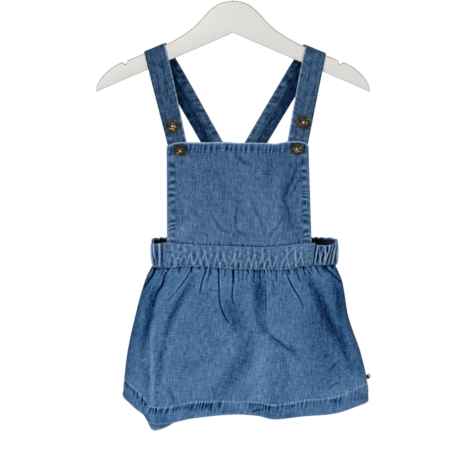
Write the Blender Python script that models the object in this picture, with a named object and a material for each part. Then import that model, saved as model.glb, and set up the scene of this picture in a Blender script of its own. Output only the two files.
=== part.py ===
"""A toddler's denim pinafore skirt on a child's wooden clothes hanger.

Metres, +Z up, the garment's front towards -Y and its left side (as seen) towards -X. The origin is
the inside crown of the hanger's hook, where a rail carries it, so everything hangs below it.
"""

import math
from bisect import bisect_right
from collections import namedtuple
from functools import lru_cache

import bmesh
import bpy
from mathutils import Vector
from mathutils.geometry import interpolate_bezier

# Cloth
SEAM_GAP = 0.0003
SKIRT_WALL = 0.0015
BIB_WALL = 0.0016
BAND_WALL = 0.0026
STRAP_WALL = 0.0020

# Waistband
BACK_RISE = 0.0030
BOX_STITCH_LEFT = -0.0787
BOX_STITCH_RIGHT = 0.0901
BACK_TUCKS = 19
BACK_TUCK_DEPTH = 0.0016

# Bib
BIB_TOP = -0.2232
BIB_TOP_DEPTH = -0.0124
BIB_TOP_LEFT = -0.0749
BIB_TOP_RIGHT = 0.0852
BIB_BOTTOM_LEFT = -0.0747
BIB_BOTTOM_RIGHT = 0.0889

# Hanger
WOOD_THICKNESS = 0.012
WOOD_ROUNDING = 0.0012
CROWN_TOP = -0.064
ARM_LINE_TOP = -0.0816
ARM_SLOPE = math.radians(22.4)
UNDERSIDE_APEX = -0.0996
ARM_REACH = 0.155
ARM_TIP = -0.1660
HOOK_WIRE = 0.0017
HOOK_INSIDE = 0.016
SHANK_HOLE = 0.00205
SHANK_DEPTH = 0.014

# Buttons
BUTTON_RADIUS = 0.0076
BUTTON_THICKNESS = 0.0028
BUTTON_WELL = 0.0050
BUTTON_HOLE = 0.0008
BUTTON_HOLE_RING = 0.0017
BIB_BUTTON_TIP = math.radians(42)

# Side tab
TAB_TOP = -0.4885
TAB_HEIGHT = 0.0066
TAB_LENGTH = 0.0072
TAB_THICKNESS = 0.0010

SIDE_BLEND = 0.012
RING_STEPS = 480
SLOPE_STEP = 0.002

SkirtRow = namedtuple("SkirtRow", "drop left right front back boxy")
SKIRT_ROWS = (
    SkirtRow(0.000, -0.0918, 0.1165, 0.0200, 0.0200, 4.0),
    SkirtRow(0.020, -0.1008, 0.1245, 0.0250, 0.0240, 3.6),
    SkirtRow(0.060, -0.1118, 0.1320, 0.0310, 0.0290, 3.2),
    SkirtRow(0.100, -0.1205, 0.1450, 0.0350, 0.0320, 3.0),
    SkirtRow(0.140, -0.1245, 0.1535, 0.0375, 0.0340, 3.0),
    SkirtRow(0.190, -0.1260, 0.1548, 0.0385, 0.0345, 3.0),
)

# Height of the hem edge, from the left side seam (across = 0) to the right one (1).
HemRow = namedtuple("HemRow", "across height")
FRONT_HEM = (
    HemRow(0.000, -0.5090),
    HemRow(0.040, -0.5125),
    HemRow(0.075, -0.5160),
    HemRow(0.110, -0.5245),
    HemRow(0.145, -0.5375),
    HemRow(0.210, -0.5400),
    HemRow(0.310, -0.5335),
    HemRow(0.456, -0.5288),
    HemRow(0.540, -0.5303),
    HemRow(0.600, -0.5345),
    HemRow(0.710, -0.5312),
    HemRow(0.815, -0.5288),
    HemRow(0.915, -0.5210),
    HemRow(0.965, -0.5190),
    HemRow(1.000, -0.5155),
)
BACK_HEM = (
    HemRow(0.000, -0.5090),
    HemRow(0.080, -0.5290),
    HemRow(0.150, -0.5590),
    HemRow(0.210, -0.5545),
    HemRow(0.300, -0.5390),
    HemRow(0.500, -0.5320),
    HemRow(0.680, -0.5355),
    HemRow(0.850, -0.5300),
    HemRow(1.000, -0.5155),
)

# The front waistband's upper and lower seam lines. The bib and the straps pull them uneven.
WaistRow = namedtuple("WaistRow", "x top bottom")
WAIST_ROWS = (
    WaistRow(-0.095, -0.3362, -0.3645),
    WaistRow(-0.075, -0.3362, -0.3642),
    WaistRow(-0.040, -0.3380, -0.3626),
    WaistRow(-0.010, -0.3392, -0.3648),
    WaistRow(0.035, -0.3406, -0.3664),
    WaistRow(0.058, -0.3392, -0.3662),
    WaistRow(0.078, -0.3366, -0.3626),
    WaistRow(0.120, -0.3362, -0.3612),
)
BACK_WAIST = WaistRow(0.0, -0.3362, -0.3630)

# A trough in the cloth, from start (measured down from the waist seam) along its length. It runs
# from top_x to end_x, and a negative depth is a ridge.
Fold = namedtuple("Fold", "top_x end_x start length width depth")
FRONT_FOLDS = (
    Fold(-0.0870, -0.1030, 0.000, 0.032, 0.0055, 0.0030),
    Fold(-0.0710, -0.1000, 0.000, 0.072, 0.0085, 0.0042),
    Fold(-0.0456, -0.0740, 0.000, 0.044, 0.0055, 0.0030),
    Fold(-0.0170, -0.0030, 0.000, 0.062, 0.0060, 0.0030),
    Fold(0.0010, 0.0040, 0.000, 0.040, 0.0050, 0.0028),
    Fold(0.0270, 0.0480, 0.000, 0.092, 0.0095, 0.0042),
    Fold(0.0600, 0.0770, 0.000, 0.034, 0.0055, 0.0028),
    Fold(0.0780, 0.1350, 0.002, 0.122, 0.0085, 0.0042),
    Fold(0.1000, 0.1250, 0.000, 0.032, 0.0055, 0.0025),
    Fold(0.0250, -0.0080, 0.074, 0.050, 0.0105, 0.0028),
    Fold(-0.0930, -0.0925, 0.060, 0.190, 0.0070, -0.0032),
)
BACK_FOLDS = (
    Fold(-0.0800, -0.1020, 0.000, 0.060, 0.0080, 0.0035),
    Fold(-0.0520, -0.0640, 0.000, 0.046, 0.0060, 0.0030),
    Fold(-0.0240, -0.0330, 0.000, 0.098, 0.0095, 0.0040),
    Fold(0.0060, 0.0080, 0.000, 0.038, 0.0055, 0.0028),
    Fold(0.0330, 0.0290, 0.000, 0.070, 0.0080, 0.0036),
    Fold(0.0620, 0.0760, 0.000, 0.104, 0.0095, 0.0042),
    Fold(0.0930, 0.1150, 0.000, 0.050, 0.0070, 0.0030),
    Fold(-0.0450, -0.0700, 0.084, 0.060, 0.0110, 0.0030),
)

# The straps' centre lines below the hanger's arm, as depth below the hook and place.
StrapRow = namedtuple("StrapRow", "drop x y width")
STRAPS = {
    "strap_left": {
        "arm_x": (-0.0884, -0.0862),
        "front": (
            StrapRow(0.1480, -0.0809, -0.0075, 0.0248),
            StrapRow(0.2239, -0.0632, -0.0103, 0.0218),
            StrapRow(0.2555, -0.0562, -0.0116, 0.0216),
        ),
        "back": (
            StrapRow(0.1480, -0.0671, 0.0077, 0.0236),
            StrapRow(0.2227, -0.0245, 0.0098, 0.0222),
            StrapRow(0.2680, 0.0008, 0.0118, 0.0220),
            StrapRow(0.2970, 0.0169, 0.0134, 0.0220),
            StrapRow(0.3460, 0.0440, 0.0157, 0.0220),
        ),
    },
    "strap_right": {
        "arm_x": (0.0929, 0.0901),
        "front": (
            StrapRow(0.1480, 0.0871, -0.0075, 0.0248),
            StrapRow(0.2239, 0.0729, -0.0103, 0.0234),
            StrapRow(0.2555, 0.0669, -0.0116, 0.0232),
        ),
        "back": (
            StrapRow(0.1480, 0.0715, 0.0077, 0.0236),
            StrapRow(0.2227, 0.0270, 0.0128, 0.0224),
            StrapRow(0.2680, 0.0008, 0.0148, 0.0220),
            StrapRow(0.2970, -0.0158, 0.0160, 0.0220),
            StrapRow(0.3460, -0.0435, 0.0155, 0.0220),
        ),
    },
}
STRAP_TURN_RADIUS = 0.0020
STRAP_SEGMENT = 0.013

BUTTONS = {
    "strap_button_left": ("strap_left", -0.0684, -0.2045),
    "strap_button_right": ("strap_right", 0.0791, -0.2003),
    "bib_button_left": ("bib", -0.0597, -0.2314),
    "bib_button_right": ("bib", 0.0718, -0.2296),
}


def clear_scene():
    for obj in list(bpy.data.objects):
        bpy.data.objects.remove(obj)


def finish_material(name, colour, roughness, metallic=0.0):
    made = bpy.data.materials.new(name)
    made.use_nodes = True
    shader = made.node_tree.nodes["Principled BSDF"]
    shader.inputs["Base Color"].default_value = (*colour, 1.0)
    shader.inputs["Roughness"].default_value = roughness
    shader.inputs["Metallic"].default_value = metallic
    return made


def add_piece(name, bm, material, smooth_below=math.radians(40)):
    """The mesh as an object, with its faces turned out and its round stretches shaded smooth."""
    bmesh.ops.recalc_face_normals(bm, faces=bm.faces)
    mesh = bpy.data.meshes.new(name)
    bm.to_mesh(mesh)
    bm.free()
    mesh.materials.append(material)
    mesh.shade_smooth()
    mesh.set_sharp_from_angle(angle=smooth_below)
    piece = bpy.data.objects.new(name, mesh)
    bpy.context.scene.collection.objects.link(piece)
    return piece


def between(table, position):
    """The table's row at a position of its first column, on a smooth curve through its rows."""
    keys = [row[0] for row in table]
    index = min(max(bisect_right(keys, position) - 1, 0), len(table) - 2)
    earlier = table[max(index - 1, 0)]
    before = table[index]
    after = table[index + 1]
    later = table[min(index + 2, len(table) - 1)]
    span = after[0] - before[0]
    t = min(max((position - before[0]) / span, 0.0), 1.0)
    values = []
    for e, b, a, l in zip(earlier, before, after, later):
        leaving = (a - e) / (after[0] - earlier[0]) * span
        arriving = (l - b) / (later[0] - before[0]) * span
        values.append(
            b * (2 * t**3 - 3 * t**2 + 1)
            + leaving * (t**3 - 2 * t**2 + t)
            + a * (3 * t**2 - 2 * t**3)
            + arriving * (t**3 - t**2)
        )
    return type(before)(*values)


def smooth_step(t):
    t = min(max(t, 0.0), 1.0)
    return t * t * (3 - 2 * t)


@lru_cache(maxsize=None)
def ring(row):
    """A level section of the skirt: (x, y, length so far), from the left seam over the front."""
    middle = (row.left + row.right) / 2
    half = (row.right - row.left) / 2
    power = 2 / row.boxy
    points = []
    length = 0.0
    for step in range(RING_STEPS + 1):
        angle = math.tau * step / RING_STEPS
        along = math.cos(angle)
        deep = math.sin(angle)
        reach = row.front if deep >= 0 else row.back
        x = middle - half * math.copysign(abs(along) ** power, along)
        y = -reach * math.copysign(abs(deep) ** power, deep)
        if points:
            length += math.hypot(x - points[-1][0], y - points[-1][1])
        points.append((x, y, length))
    return points


def on_ring(row, side, across):
    """A point of the section and its outward direction, across from the left seam to the right."""
    points = ring(row)
    half = RING_STEPS // 2
    lengths = [point[2] for point in points]
    seam = lengths[half]
    across = min(max(across, 0.0), 1.0)
    if side == "front":
        wanted = across * seam
    else:
        wanted = lengths[-1] - across * (lengths[-1] - seam)
    index = min(max(bisect_right(lengths, wanted) - 1, 0), RING_STEPS - 1)
    x0, y0, length0 = points[index]
    x1, y1, length1 = points[index + 1]
    t = (wanted - length0) / max(length1 - length0, 1e-9)
    run = Vector((x1 - x0, y1 - y0, 0)).normalized()
    return Vector((x0 + (x1 - x0) * t, y0 + (y1 - y0) * t, 0)), Vector((run.y, -run.x, 0))


def ring_depth(row, x, side):
    """How far the section stands from the side seams' plane at this x."""
    middle = (row.left + row.right) / 2
    half = (row.right - row.left) / 2
    reach = row.front if side == "front" else row.back
    share = min(abs(x - middle) / half, 1.0)
    return reach * (1 - share**row.boxy) ** (1 / row.boxy)


def across_at(row, x):
    """The share of the front section, from the left seam, at which it reaches this x."""
    points = ring(row)[: RING_STEPS // 2 + 1]
    for (x0, _, length0), (x1, _, length1) in zip(points, points[1:]):
        if x0 <= x <= x1:
            reached = length0 + (length1 - length0) * (x - x0) / (x1 - x0)
            return reached / points[-1][2]
    return 0.0


def waist_line(place):
    """The waistband's edges at this place of its ring: level at the back, uneven in front."""
    front = between(WAIST_ROWS, place.x)
    share = smooth_step(-place.y / SIDE_BLEND)
    top = BACK_WAIST.top + (front.top - BACK_WAIST.top) * share
    bottom = BACK_WAIST.bottom + (front.bottom - BACK_WAIST.bottom) * share
    return WaistRow(place.x, top, bottom)


def fold_push(folds, x, drop):
    """How far outwards the folds push the cloth at this place. A trough has small raised lips."""
    push = 0.0
    for fold in folds:
        along = (drop - fold.start) / fold.length
        if not 0 <= along <= 1:
            continue
        middle = fold.top_x + (fold.end_x - fold.top_x) * along
        nearness = ((x - middle) / fold.width) ** 2
        if fold.start == 0:
            strength = math.cos(math.pi / 2 * along)
        else:
            strength = math.sin(math.pi * min(along, 1.0)) ** 0.7
        push -= fold.depth * strength * (1 - 0.7 * nearness) * math.exp(-nearness)
    return push


def cloth_wall(name, surface, columns, rows, wall, material):
    """A closed wall on both sides of surface(across, down), each of which runs from 0 to 1.

    Its thickness is laid off level, so that the top and bottom edges keep to their seams.
    """
    bm = bmesh.new()
    faces_of = []
    for side in (0.5, -0.5):
        grid = []
        for row in range(rows + 1):
            line = []
            for column in range(columns + 1):
                across = column / columns
                down = row / rows
                run = surface(across + SLOPE_STEP, down) - surface(across - SLOPE_STEP, down)
                fall = surface(across, down + SLOPE_STEP) - surface(across, down - SLOPE_STEP)
                level = run.cross(fall).to_2d().normalized().to_3d()
                line.append(bm.verts.new(surface(across, down) + level * wall * side))
            grid.append(line)
        faces_of.append(grid)
    outer, inner = faces_of
    for grid in faces_of:
        for upper, lower in zip(grid, grid[1:]):
            for a, b, c, d in zip(upper, upper[1:], lower[1:], lower):
                bm.faces.new((a, b, c, d))
    edges = [
        (outer[0], inner[0]),
        (outer[-1], inner[-1]),
        ([line[0] for line in outer], [line[0] for line in inner]),
        ([line[-1] for line in outer], [line[-1] for line in inner]),
    ]
    for near, far in edges:
        for a, b, c, d in zip(near, near[1:], far[1:], far):
            bm.faces.new((a, b, c, d))
    return add_piece(name, bm, material)


def skirt_panel(side, folds, hem):
    seam_share = SEAM_GAP / ring(SKIRT_ROWS[0])[-1][2]

    def surface(across, down):
        across = seam_share + (1 - 2 * seam_share) * min(max(across, 0.0), 1.0)
        top = waist_line(on_ring(SKIRT_ROWS[0], side, across)[0]).bottom - SEAM_GAP
        drop = down * (top - between(hem, across).height)
        place, outward = on_ring(between(SKIRT_ROWS, max(drop, 0.0)), side, across)
        place += outward * fold_push(folds, place.x, drop)
        place.z = top - drop
        return place

    return surface


def make_skirt(denim):
    for side, folds, hem in (("front", FRONT_FOLDS, FRONT_HEM), ("back", BACK_FOLDS, BACK_HEM)):
        cloth_wall(f"skirt_{side}", skirt_panel(side, folds, hem), 58, 12, SKIRT_WALL, denim)


def make_waistband(denim):
    row = SKIRT_ROWS[0]
    left = across_at(row, BOX_STITCH_LEFT)
    right = across_at(row, BOX_STITCH_RIGHT)
    front_length = ring(row)[RING_STEPS // 2][2]
    back_length = ring(row)[-1][2] - front_length
    gap_share = SEAM_GAP / front_length

    def front(across, down):
        place, _ = on_ring(row, "front", left + (right - left) * across)
        line = waist_line(place)
        place.z = line.top + (line.bottom - line.top) * down
        return place

    # The back band runs from the left box stitch round the back to the right one.
    left_stretch = (left - gap_share) * front_length
    right_stretch = (1 - right - gap_share) * front_length
    whole = left_stretch + back_length + right_stretch

    def back(across, down):
        reached = across * whole
        if reached < left_stretch:
            place, outward = on_ring(row, "front", (left_stretch - reached) / front_length)
        elif reached < left_stretch + back_length:
            place, outward = on_ring(row, "back", (reached - left_stretch) / back_length)
        else:
            over = reached - left_stretch - back_length
            place, outward = on_ring(row, "front", 1 - over / front_length)
        tuck = 0.5 - 0.5 * math.cos(math.tau * BACK_TUCKS * across)
        rise = BACK_RISE * smooth_step((place.y + row.front) / (row.front + row.back))
        line = waist_line(place)
        place += outward * tuck * BACK_TUCK_DEPTH
        place.z = line.top + rise + (line.bottom - line.top - rise) * down
        return place

    cloth_wall("waistband_front", front, 26, 2, BAND_WALL, denim)
    cloth_wall("waistband_back", back, BACK_TUCKS * 4, 2, BAND_WALL, denim)


def bib_depth(x, z):
    """The bib hangs from the straps near the hanger's face and leans out to the waistband."""
    waist = -ring_depth(SKIRT_ROWS[0], x, "front")
    share = (BIB_TOP - z) / (BIB_TOP - BACK_WAIST.top)
    return BIB_TOP_DEPTH + (waist - BIB_TOP_DEPTH) * share


def make_bib(denim):
    def surface(across, down):
        left = BIB_TOP_LEFT + (BIB_BOTTOM_LEFT - BIB_TOP_LEFT) * down
        right = BIB_TOP_RIGHT + (BIB_BOTTOM_RIGHT - BIB_TOP_RIGHT) * down
        x = left + (right - left) * across
        waist = Vector((x, -ring_depth(SKIRT_ROWS[0], x, "front"), 0))
        bottom = waist_line(waist).top + SEAM_GAP
        z = BIB_TOP + (bottom - BIB_TOP) * down
        return Vector((x, bib_depth(x, z), z))

    cloth_wall("bib", surface, 14, 10, BIB_WALL, denim)


def arm_height(x):
    return ARM_LINE_TOP - math.tan(ARM_SLOPE) * abs(x)


def strap_stations(route):
    """The strap's sections, each as (centre, direction across, width), from tail to band."""
    hand = -1 if route["arm_x"][0] < 0 else 1
    uphill = Vector((-hand * math.cos(ARM_SLOPE), 0, math.sin(ARM_SLOPE)))
    away = Vector((hand * math.sin(ARM_SLOPE), 0, math.cos(ARM_SLOPE)))
    across_arm = uphill if hand < 0 else -uphill
    face = WOOD_THICKNESS / 2 + SEAM_GAP + STRAP_WALL / 2
    crown = SEAM_GAP + STRAP_WALL / 2
    front_x, back_x = route["arm_x"]
    width = route["front"][0].width

    turn = []
    for quarter, first in ((-1, math.pi), (1, math.pi / 2)):
        for step in range(4):
            angle = first - step / 3 * math.pi / 2
            y = quarter * (face - STRAP_TURN_RADIUS) + STRAP_TURN_RADIUS * math.cos(angle)
            height = crown - STRAP_TURN_RADIUS + STRAP_TURN_RADIUS * math.sin(angle)
            x = front_x + (back_x - front_x) * (y + face) / (2 * face)
            base = Vector((x, y, arm_height(x)))
            turn.append((base + away * height, across_arm, width))

    def fall(rows, fold):
        start = StrapRow(-fold.z, fold.x, fold.y, width)
        table = (start, *rows)
        length = rows[-1].drop - start.drop
        count = math.ceil(length / STRAP_SEGMENT)
        sections = []
        for step in range(1, count + 1):
            drop = start.drop + length * step / count
            here = between(table, drop)
            ahead = between(table, drop + 0.002)
            behind = between(table, drop - 0.002)
            lean = math.atan2(ahead.x - behind.x, ahead.drop - behind.drop)
            square = Vector((math.cos(lean), 0, math.sin(lean)))
            share = smooth_step((drop - start.drop) / 0.035)
            across = across_arm.lerp(square, share).normalized()
            sections.append((Vector((here.x, here.y, -here.drop)), across, here.width))
        return sections

    front = fall(route["front"], turn[0][0])
    back = fall(route["back"], turn[-1][0])
    return front[::-1] + turn + back


def make_strap(name, route, denim):
    stations = strap_stations(route)
    centres = [station[0] for station in stations]
    bm = bmesh.new()
    sections = []
    for index, (centre, across, width) in enumerate(stations):
        ahead = centres[min(index + 1, len(centres) - 1)]
        behind = centres[max(index - 1, 0)]
        out = (ahead - behind).cross(across).normalized()
        corners = []
        for side, face in ((-0.5, -0.5), (0.5, -0.5), (0.5, 0.5), (-0.5, 0.5)):
            corners.append(bm.verts.new(centre + across * width * side + out * STRAP_WALL * face))
        sections.append(corners)
    for first, second in zip(sections, sections[1:]):
        for corner in range(4):
            after = (corner + 1) % 4
            bm.faces.new((first[corner], first[after], second[after], second[corner]))
    bm.faces.new(sections[0])
    bm.faces.new(sections[-1])
    add_piece(name, bm, denim)


def strap_face(name, z):
    """The depth of a front strap's outer face at this height."""
    row = between(STRAPS[name]["front"], -z)
    return row.y - STRAP_WALL / 2


def make_button(name, horn):
    carrier, x, z = BUTTONS[name]
    half = BUTTON_THICKNESS / 2
    # The turned profile, as (radius, height), from the back's middle to the front's.
    profile = (
        (0.0, -half),
        (BUTTON_RADIUS * 0.72, -half),
        (BUTTON_RADIUS, -half * 0.1),
        (BUTTON_RADIUS, half * 0.35),
        (BUTTON_RADIUS * 0.90, half),
        (BUTTON_RADIUS * 0.76, half),
        (BUTTON_WELL, half * 0.35),
        (0.0, half * 0.25),
    )
    if carrier == "bib":
        tip = BIB_BUTTON_TIP
        face = bib_depth(x, z - BUTTON_RADIUS * math.cos(tip)) - BIB_WALL / 2
    else:
        tip = 0.0
        face = strap_face(carrier, z) - SEAM_GAP
    reach = max(radius * math.sin(tip) - height * math.cos(tip) for radius, height in profile)
    y = face - SEAM_GAP - reach
    sides = 20
    bm = bmesh.new()
    rings = []
    for radius, height in profile:
        if radius == 0.0:
            rings.append([bm.verts.new((0, 0, height))])
            continue
        turned = []
        for side in range(sides):
            angle = math.tau * side / sides
            turned.append(bm.verts.new((radius * math.cos(angle), radius * math.sin(angle), height)))
        rings.append(turned)
    for first, second in zip(rings, rings[1:]):
        for side in range(sides):
            after = (side + 1) % sides
            if len(first) == 1:
                bm.faces.new((first[0], second[side], second[after]))
            elif len(second) == 1:
                bm.faces.new((first[side], second[0], first[after]))
            else:
                bm.faces.new((first[side], second[side], second[after], first[after]))
    button = add_piece(name, bm, horn)
    # The front face looks towards -Y and, where the bib's weight tips it, down.
    button.rotation_euler = (math.pi / 2 + tip, 0, 0)
    button.location = (x, y, z)

    for hole in range(4):
        angle = math.pi / 4 + math.pi / 2 * hole
        bpy.ops.mesh.primitive_cylinder_add(
            vertices=8,
            radius=BUTTON_HOLE,
            depth=2 * BUTTON_THICKNESS,
            location=(BUTTON_HOLE_RING * math.cos(angle), BUTTON_HOLE_RING * math.sin(angle), 0),
        )
        drill = bpy.context.object
        drill.name = f"{name}_drill_{hole}"
        drill.parent = button
        drill.hide_render = True
        drill.display_type = "WIRE"
        cut = button.modifiers.new(f"hole_{hole}", "BOOLEAN")
        cut.operation = "DIFFERENCE"
        cut.object = drill


def make_side_tab(tape):
    """The flag tab stands out of the right side seam."""
    drop = BACK_WAIST.bottom - (TAB_TOP - TAB_HEIGHT / 2)
    seam = between(SKIRT_ROWS, drop).right + SKIRT_WALL / 2 + 2 * SEAM_GAP
    bm = bmesh.new()
    bmesh.ops.create_cube(bm, size=1)
    bmesh.ops.scale(bm, vec=(TAB_LENGTH, TAB_THICKNESS, TAB_HEIGHT), verts=bm.verts)
    middle = Vector((seam + TAB_LENGTH / 2, 0, TAB_TOP - TAB_HEIGHT / 2))
    bmesh.ops.translate(bm, vec=middle, verts=bm.verts)
    add_piece("side_tab", bm, tape)


def half_outline():
    """The right half of the hanger's sawn outline, from the crown's top round to the tip."""
    flank = Vector((0.0385, -0.0878, 0))
    flank_run = Vector((0.0110, -0.0119, 0))
    arm_start = Vector((0.080, arm_height(0.080), 0))
    arm_run = Vector((math.cos(ARM_SLOPE), -math.sin(ARM_SLOPE), 0)) * 0.013
    crown = Vector((0, CROWN_TOP, 0))
    shoulder = Vector((0.1250, -0.1325, 0))
    tip = Vector((ARM_REACH, ARM_TIP, 0))
    level = Vector((0.020, 0, 0))
    points = interpolate_bezier(crown, crown + level, flank - flank_run, flank, 9)
    points += interpolate_bezier(flank, flank + flank_run, arm_start - arm_run, arm_start, 7)[1:]
    points += [Vector((0.1185, arm_height(0.1185), 0)), Vector((0.1208, -0.1355, 0))]
    upright = Vector((0, 0.015, 0))
    points += interpolate_bezier(shoulder, shoulder + arm_run, tip + upright, tip, 8)
    return [(point.x, point.y) for point in points]


def make_hanger(wood, steel):
    right = half_outline()
    left = [(-x, z) for x, z in reversed(right[1:])]
    outline = right + [(0.0, UNDERSIDE_APEX)] + left
    bm = bmesh.new()
    face = bm.faces.new([bm.verts.new((x, -WOOD_THICKNESS / 2, z)) for x, z in outline])
    pulled = bmesh.ops.extrude_face_region(bm, geom=[face])["geom"]
    moved = [item for item in pulled if isinstance(item, bmesh.types.BMVert)]
    bmesh.ops.translate(bm, vec=(0, WOOD_THICKNESS, 0), verts=moved)
    rims = [edge for edge in bm.edges if edge.verts[0].co.y == edge.verts[1].co.y]
    bmesh.ops.bevel(bm, geom=rims, offset=WOOD_ROUNDING, segments=1, affect="EDGES")
    body = add_piece("hanger_body", bm, wood)

    bpy.ops.mesh.primitive_cylinder_add(
        vertices=16,
        radius=SHANK_HOLE,
        depth=2 * SHANK_DEPTH,
        location=(0, 0, CROWN_TOP),
    )
    drill = bpy.context.object
    drill.name = "shank_drill"
    drill.hide_render = True
    drill.display_type = "WIRE"
    cut = body.modifiers.new("shank_hole", "BOOLEAN")
    cut.operation = "DIFFERENCE"
    cut.object = drill
    make_hook(steel)


def make_hook(steel):
    """Bent wire: an open ring around the rail, a short neck and the shank in its hole."""
    radius = HOOK_INSIDE + HOOK_WIRE
    points = []
    for step in range(19):
        angle = math.radians(190 - 240 * step / 18)
        points.append(Vector((radius * math.cos(angle), 0, -HOOK_INSIDE + radius * math.sin(angle))))
    run = (points[-1] - points[-2]).normalized()
    neck_end = Vector((0, 0, -0.047))
    neck = interpolate_bezier(
        points[-1], points[-1] + run * 0.008, neck_end + Vector((0, 0, 0.008)), neck_end, 7
    )
    points += neck[1:]
    shank_end = CROWN_TOP - SHANK_DEPTH + SEAM_GAP
    for step in range(1, 5):
        points.append(Vector((0, 0, neck_end.z + (shank_end - neck_end.z) * step / 4)))
    curve = bpy.data.curves.new("hanger_hook", "CURVE")
    curve.dimensions = "3D"
    curve.bevel_depth = HOOK_WIRE
    curve.bevel_resolution = 2
    curve.use_fill_caps = True
    spline = curve.splines.new("POLY")
    spline.points.add(len(points) - 1)
    for place, point in zip(spline.points, points):
        place.co = (*point, 1)
    curve.materials.append(steel)
    hook = bpy.data.objects.new("hanger_hook", curve)
    bpy.context.scene.collection.objects.link(hook)


def main():
    clear_scene()
    denim = finish_material("washed_denim", (0.070, 0.148, 0.290), 0.85)
    horn = finish_material("horn_button", (0.055, 0.040, 0.024), 0.35)
    tape = finish_material("woven_tape", (0.020, 0.022, 0.030), 0.80)
    wood = finish_material("white_wood", (0.740, 0.730, 0.700), 0.45)
    steel = finish_material("bright_wire", (0.620, 0.620, 0.640), 0.25, 1.0)
    make_skirt(denim)
    make_waistband(denim)
    make_bib(denim)
    for name, route in STRAPS.items():
        make_strap(name, route, denim)
    for name in BUTTONS:
        make_button(name, horn)
    make_side_tab(tape)
    make_hanger(wood, steel)


main()
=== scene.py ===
import math
import random

import bpy
import numpy as np
from mathutils import Matrix, Vector


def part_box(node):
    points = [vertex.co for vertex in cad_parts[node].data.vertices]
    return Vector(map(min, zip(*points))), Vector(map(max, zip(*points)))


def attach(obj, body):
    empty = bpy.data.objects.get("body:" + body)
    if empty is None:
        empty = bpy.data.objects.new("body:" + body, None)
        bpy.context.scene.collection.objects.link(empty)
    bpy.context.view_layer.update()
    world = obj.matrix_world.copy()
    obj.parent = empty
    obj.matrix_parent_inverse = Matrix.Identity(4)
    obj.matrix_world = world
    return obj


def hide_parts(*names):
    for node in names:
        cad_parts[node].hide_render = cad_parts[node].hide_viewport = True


# A toddler's denim pinafore skirt, hung over a white wooden child's hanger.
# Metres, +Z up, front towards -Y, hung from the hook's inside crown at the origin.

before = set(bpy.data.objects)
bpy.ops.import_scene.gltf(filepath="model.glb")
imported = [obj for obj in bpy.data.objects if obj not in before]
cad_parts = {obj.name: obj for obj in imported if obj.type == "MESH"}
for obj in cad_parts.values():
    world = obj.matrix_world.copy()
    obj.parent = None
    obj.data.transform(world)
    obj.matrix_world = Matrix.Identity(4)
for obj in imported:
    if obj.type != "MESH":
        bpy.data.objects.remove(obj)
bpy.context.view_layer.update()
bpy.ops.object.select_all(action="DESELECT")
print("frame loaded")

studio = {
    "aim": (-0.00342, 0.0, -0.32306),
    "distance": 2.0,
    "pitch": 5.0,
    "lens": 137.3,
    "sensor": 36,
    "farthest": 20,
    "worldLight": 0.3,
    "floorHeight": -1.05,
    "floorRadius": 1.5,
    "floorGlow": 0.35,
}

# place, width, and share of full light on a surface that faces the lamp
lamps = {
    "keyLamp": ((-0.75, -2.1, 0.8), 0.8, 0.56),
    "fillLamp": ((1.1, -1.9, 0.0), 1.6, 0.14),
    "backLamp": ((1.1, 2.1, 0.45), 1.2, 0.56),
    "topLamp": ((0.0, 0.0, 1.8), 1.2, 0.1),
}


def newObject(name, data):
    made = bpy.data.objects.new(name, data)
    bpy.context.scene.collection.objects.link(made)
    return made


def makeStudio():
    pitch = math.radians(studio["pitch"])
    aim = Vector(studio["aim"])
    camera = newObject("camera", bpy.data.cameras.new("camera"))
    camera.location = aim + Vector((0, -math.cos(pitch), math.sin(pitch))) * studio["distance"]
    camera.rotation_euler = (math.pi / 2 - pitch, 0, 0)
    camera.data.sensor_width = studio["sensor"]
    camera.data.lens = studio["lens"]
    camera.data.clip_end = studio["farthest"]
    bpy.context.scene.camera = camera
    bpy.context.scene.view_settings.view_transform = "Standard"
    for name, (place, width, share) in lamps.items():
        lamp = bpy.data.lights.new(name, "AREA")
        lamp.size = width
        away = aim - Vector(place)
        lamp.energy = share * (math.pi * away.length) ** 2
        holder = newObject(name, lamp)
        holder.location = place
        holder.rotation_euler = away.to_track_quat("-Z", "Y").to_euler()


def addNode(tree, kind, inputs=None, **settings):
    made = tree.nodes.new("ShaderNode" + kind)
    for key, value in settings.items():
        setattr(made, key, value)
    for key, value in (inputs or {}).items():
        socket = made.inputs[key]
        if isinstance(value, bpy.types.NodeSocket):
            tree.links.new(value, socket)
        else:
            socket.default_value = value
    return made


def calc(tree, operation, first, second=0.0, third=0.0, clamp=False):
    inputs = {0: first, 1: second}
    if operation == "MULTIPLY_ADD":
        inputs[2] = third
    return addNode(tree, "Math", inputs, operation=operation, use_clamp=clamp).outputs[0]


def newMaterial(name):
    made = bpy.data.materials.new(name)
    made.use_nodes = True
    tree = made.node_tree
    return made, tree, tree.nodes["Principled BSDF"]


shaderSockets = {
    "roughness": "Roughness",
    "metallic": "Metallic",
    "specular": "Specular IOR Level",
}


def setShader(shader, **values):
    for key, value in values.items():
        shader.inputs[shaderSockets[key]].default_value = value


def newGroup(name, inputs, outputs):
    tree = bpy.data.node_groups.new(name, "ShaderNodeTree")
    for way, sockets in (("INPUT", inputs), ("OUTPUT", outputs)):
        for label, kind in sockets:
            tree.interface.new_socket(label, in_out=way, socket_type="NodeSocket" + kind)
    return tree, tree.nodes.new("NodeGroupInput"), tree.nodes.new("NodeGroupOutput")


def ramp(tree, value, stops):
    made = addNode(tree, "ValToRGB", {"Fac": value})
    elements = made.color_ramp.elements
    while len(elements) < len(stops):
        elements.new(0.5)
    for element, (place, colour) in zip(elements, stops):
        element.position = place
        element.color = (*colour, 1)
    return made.outputs["Color"]


def tint(tree, shader, value, stops):
    tree.links.new(ramp(tree, value, stops), shader.inputs["Base Color"])


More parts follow.
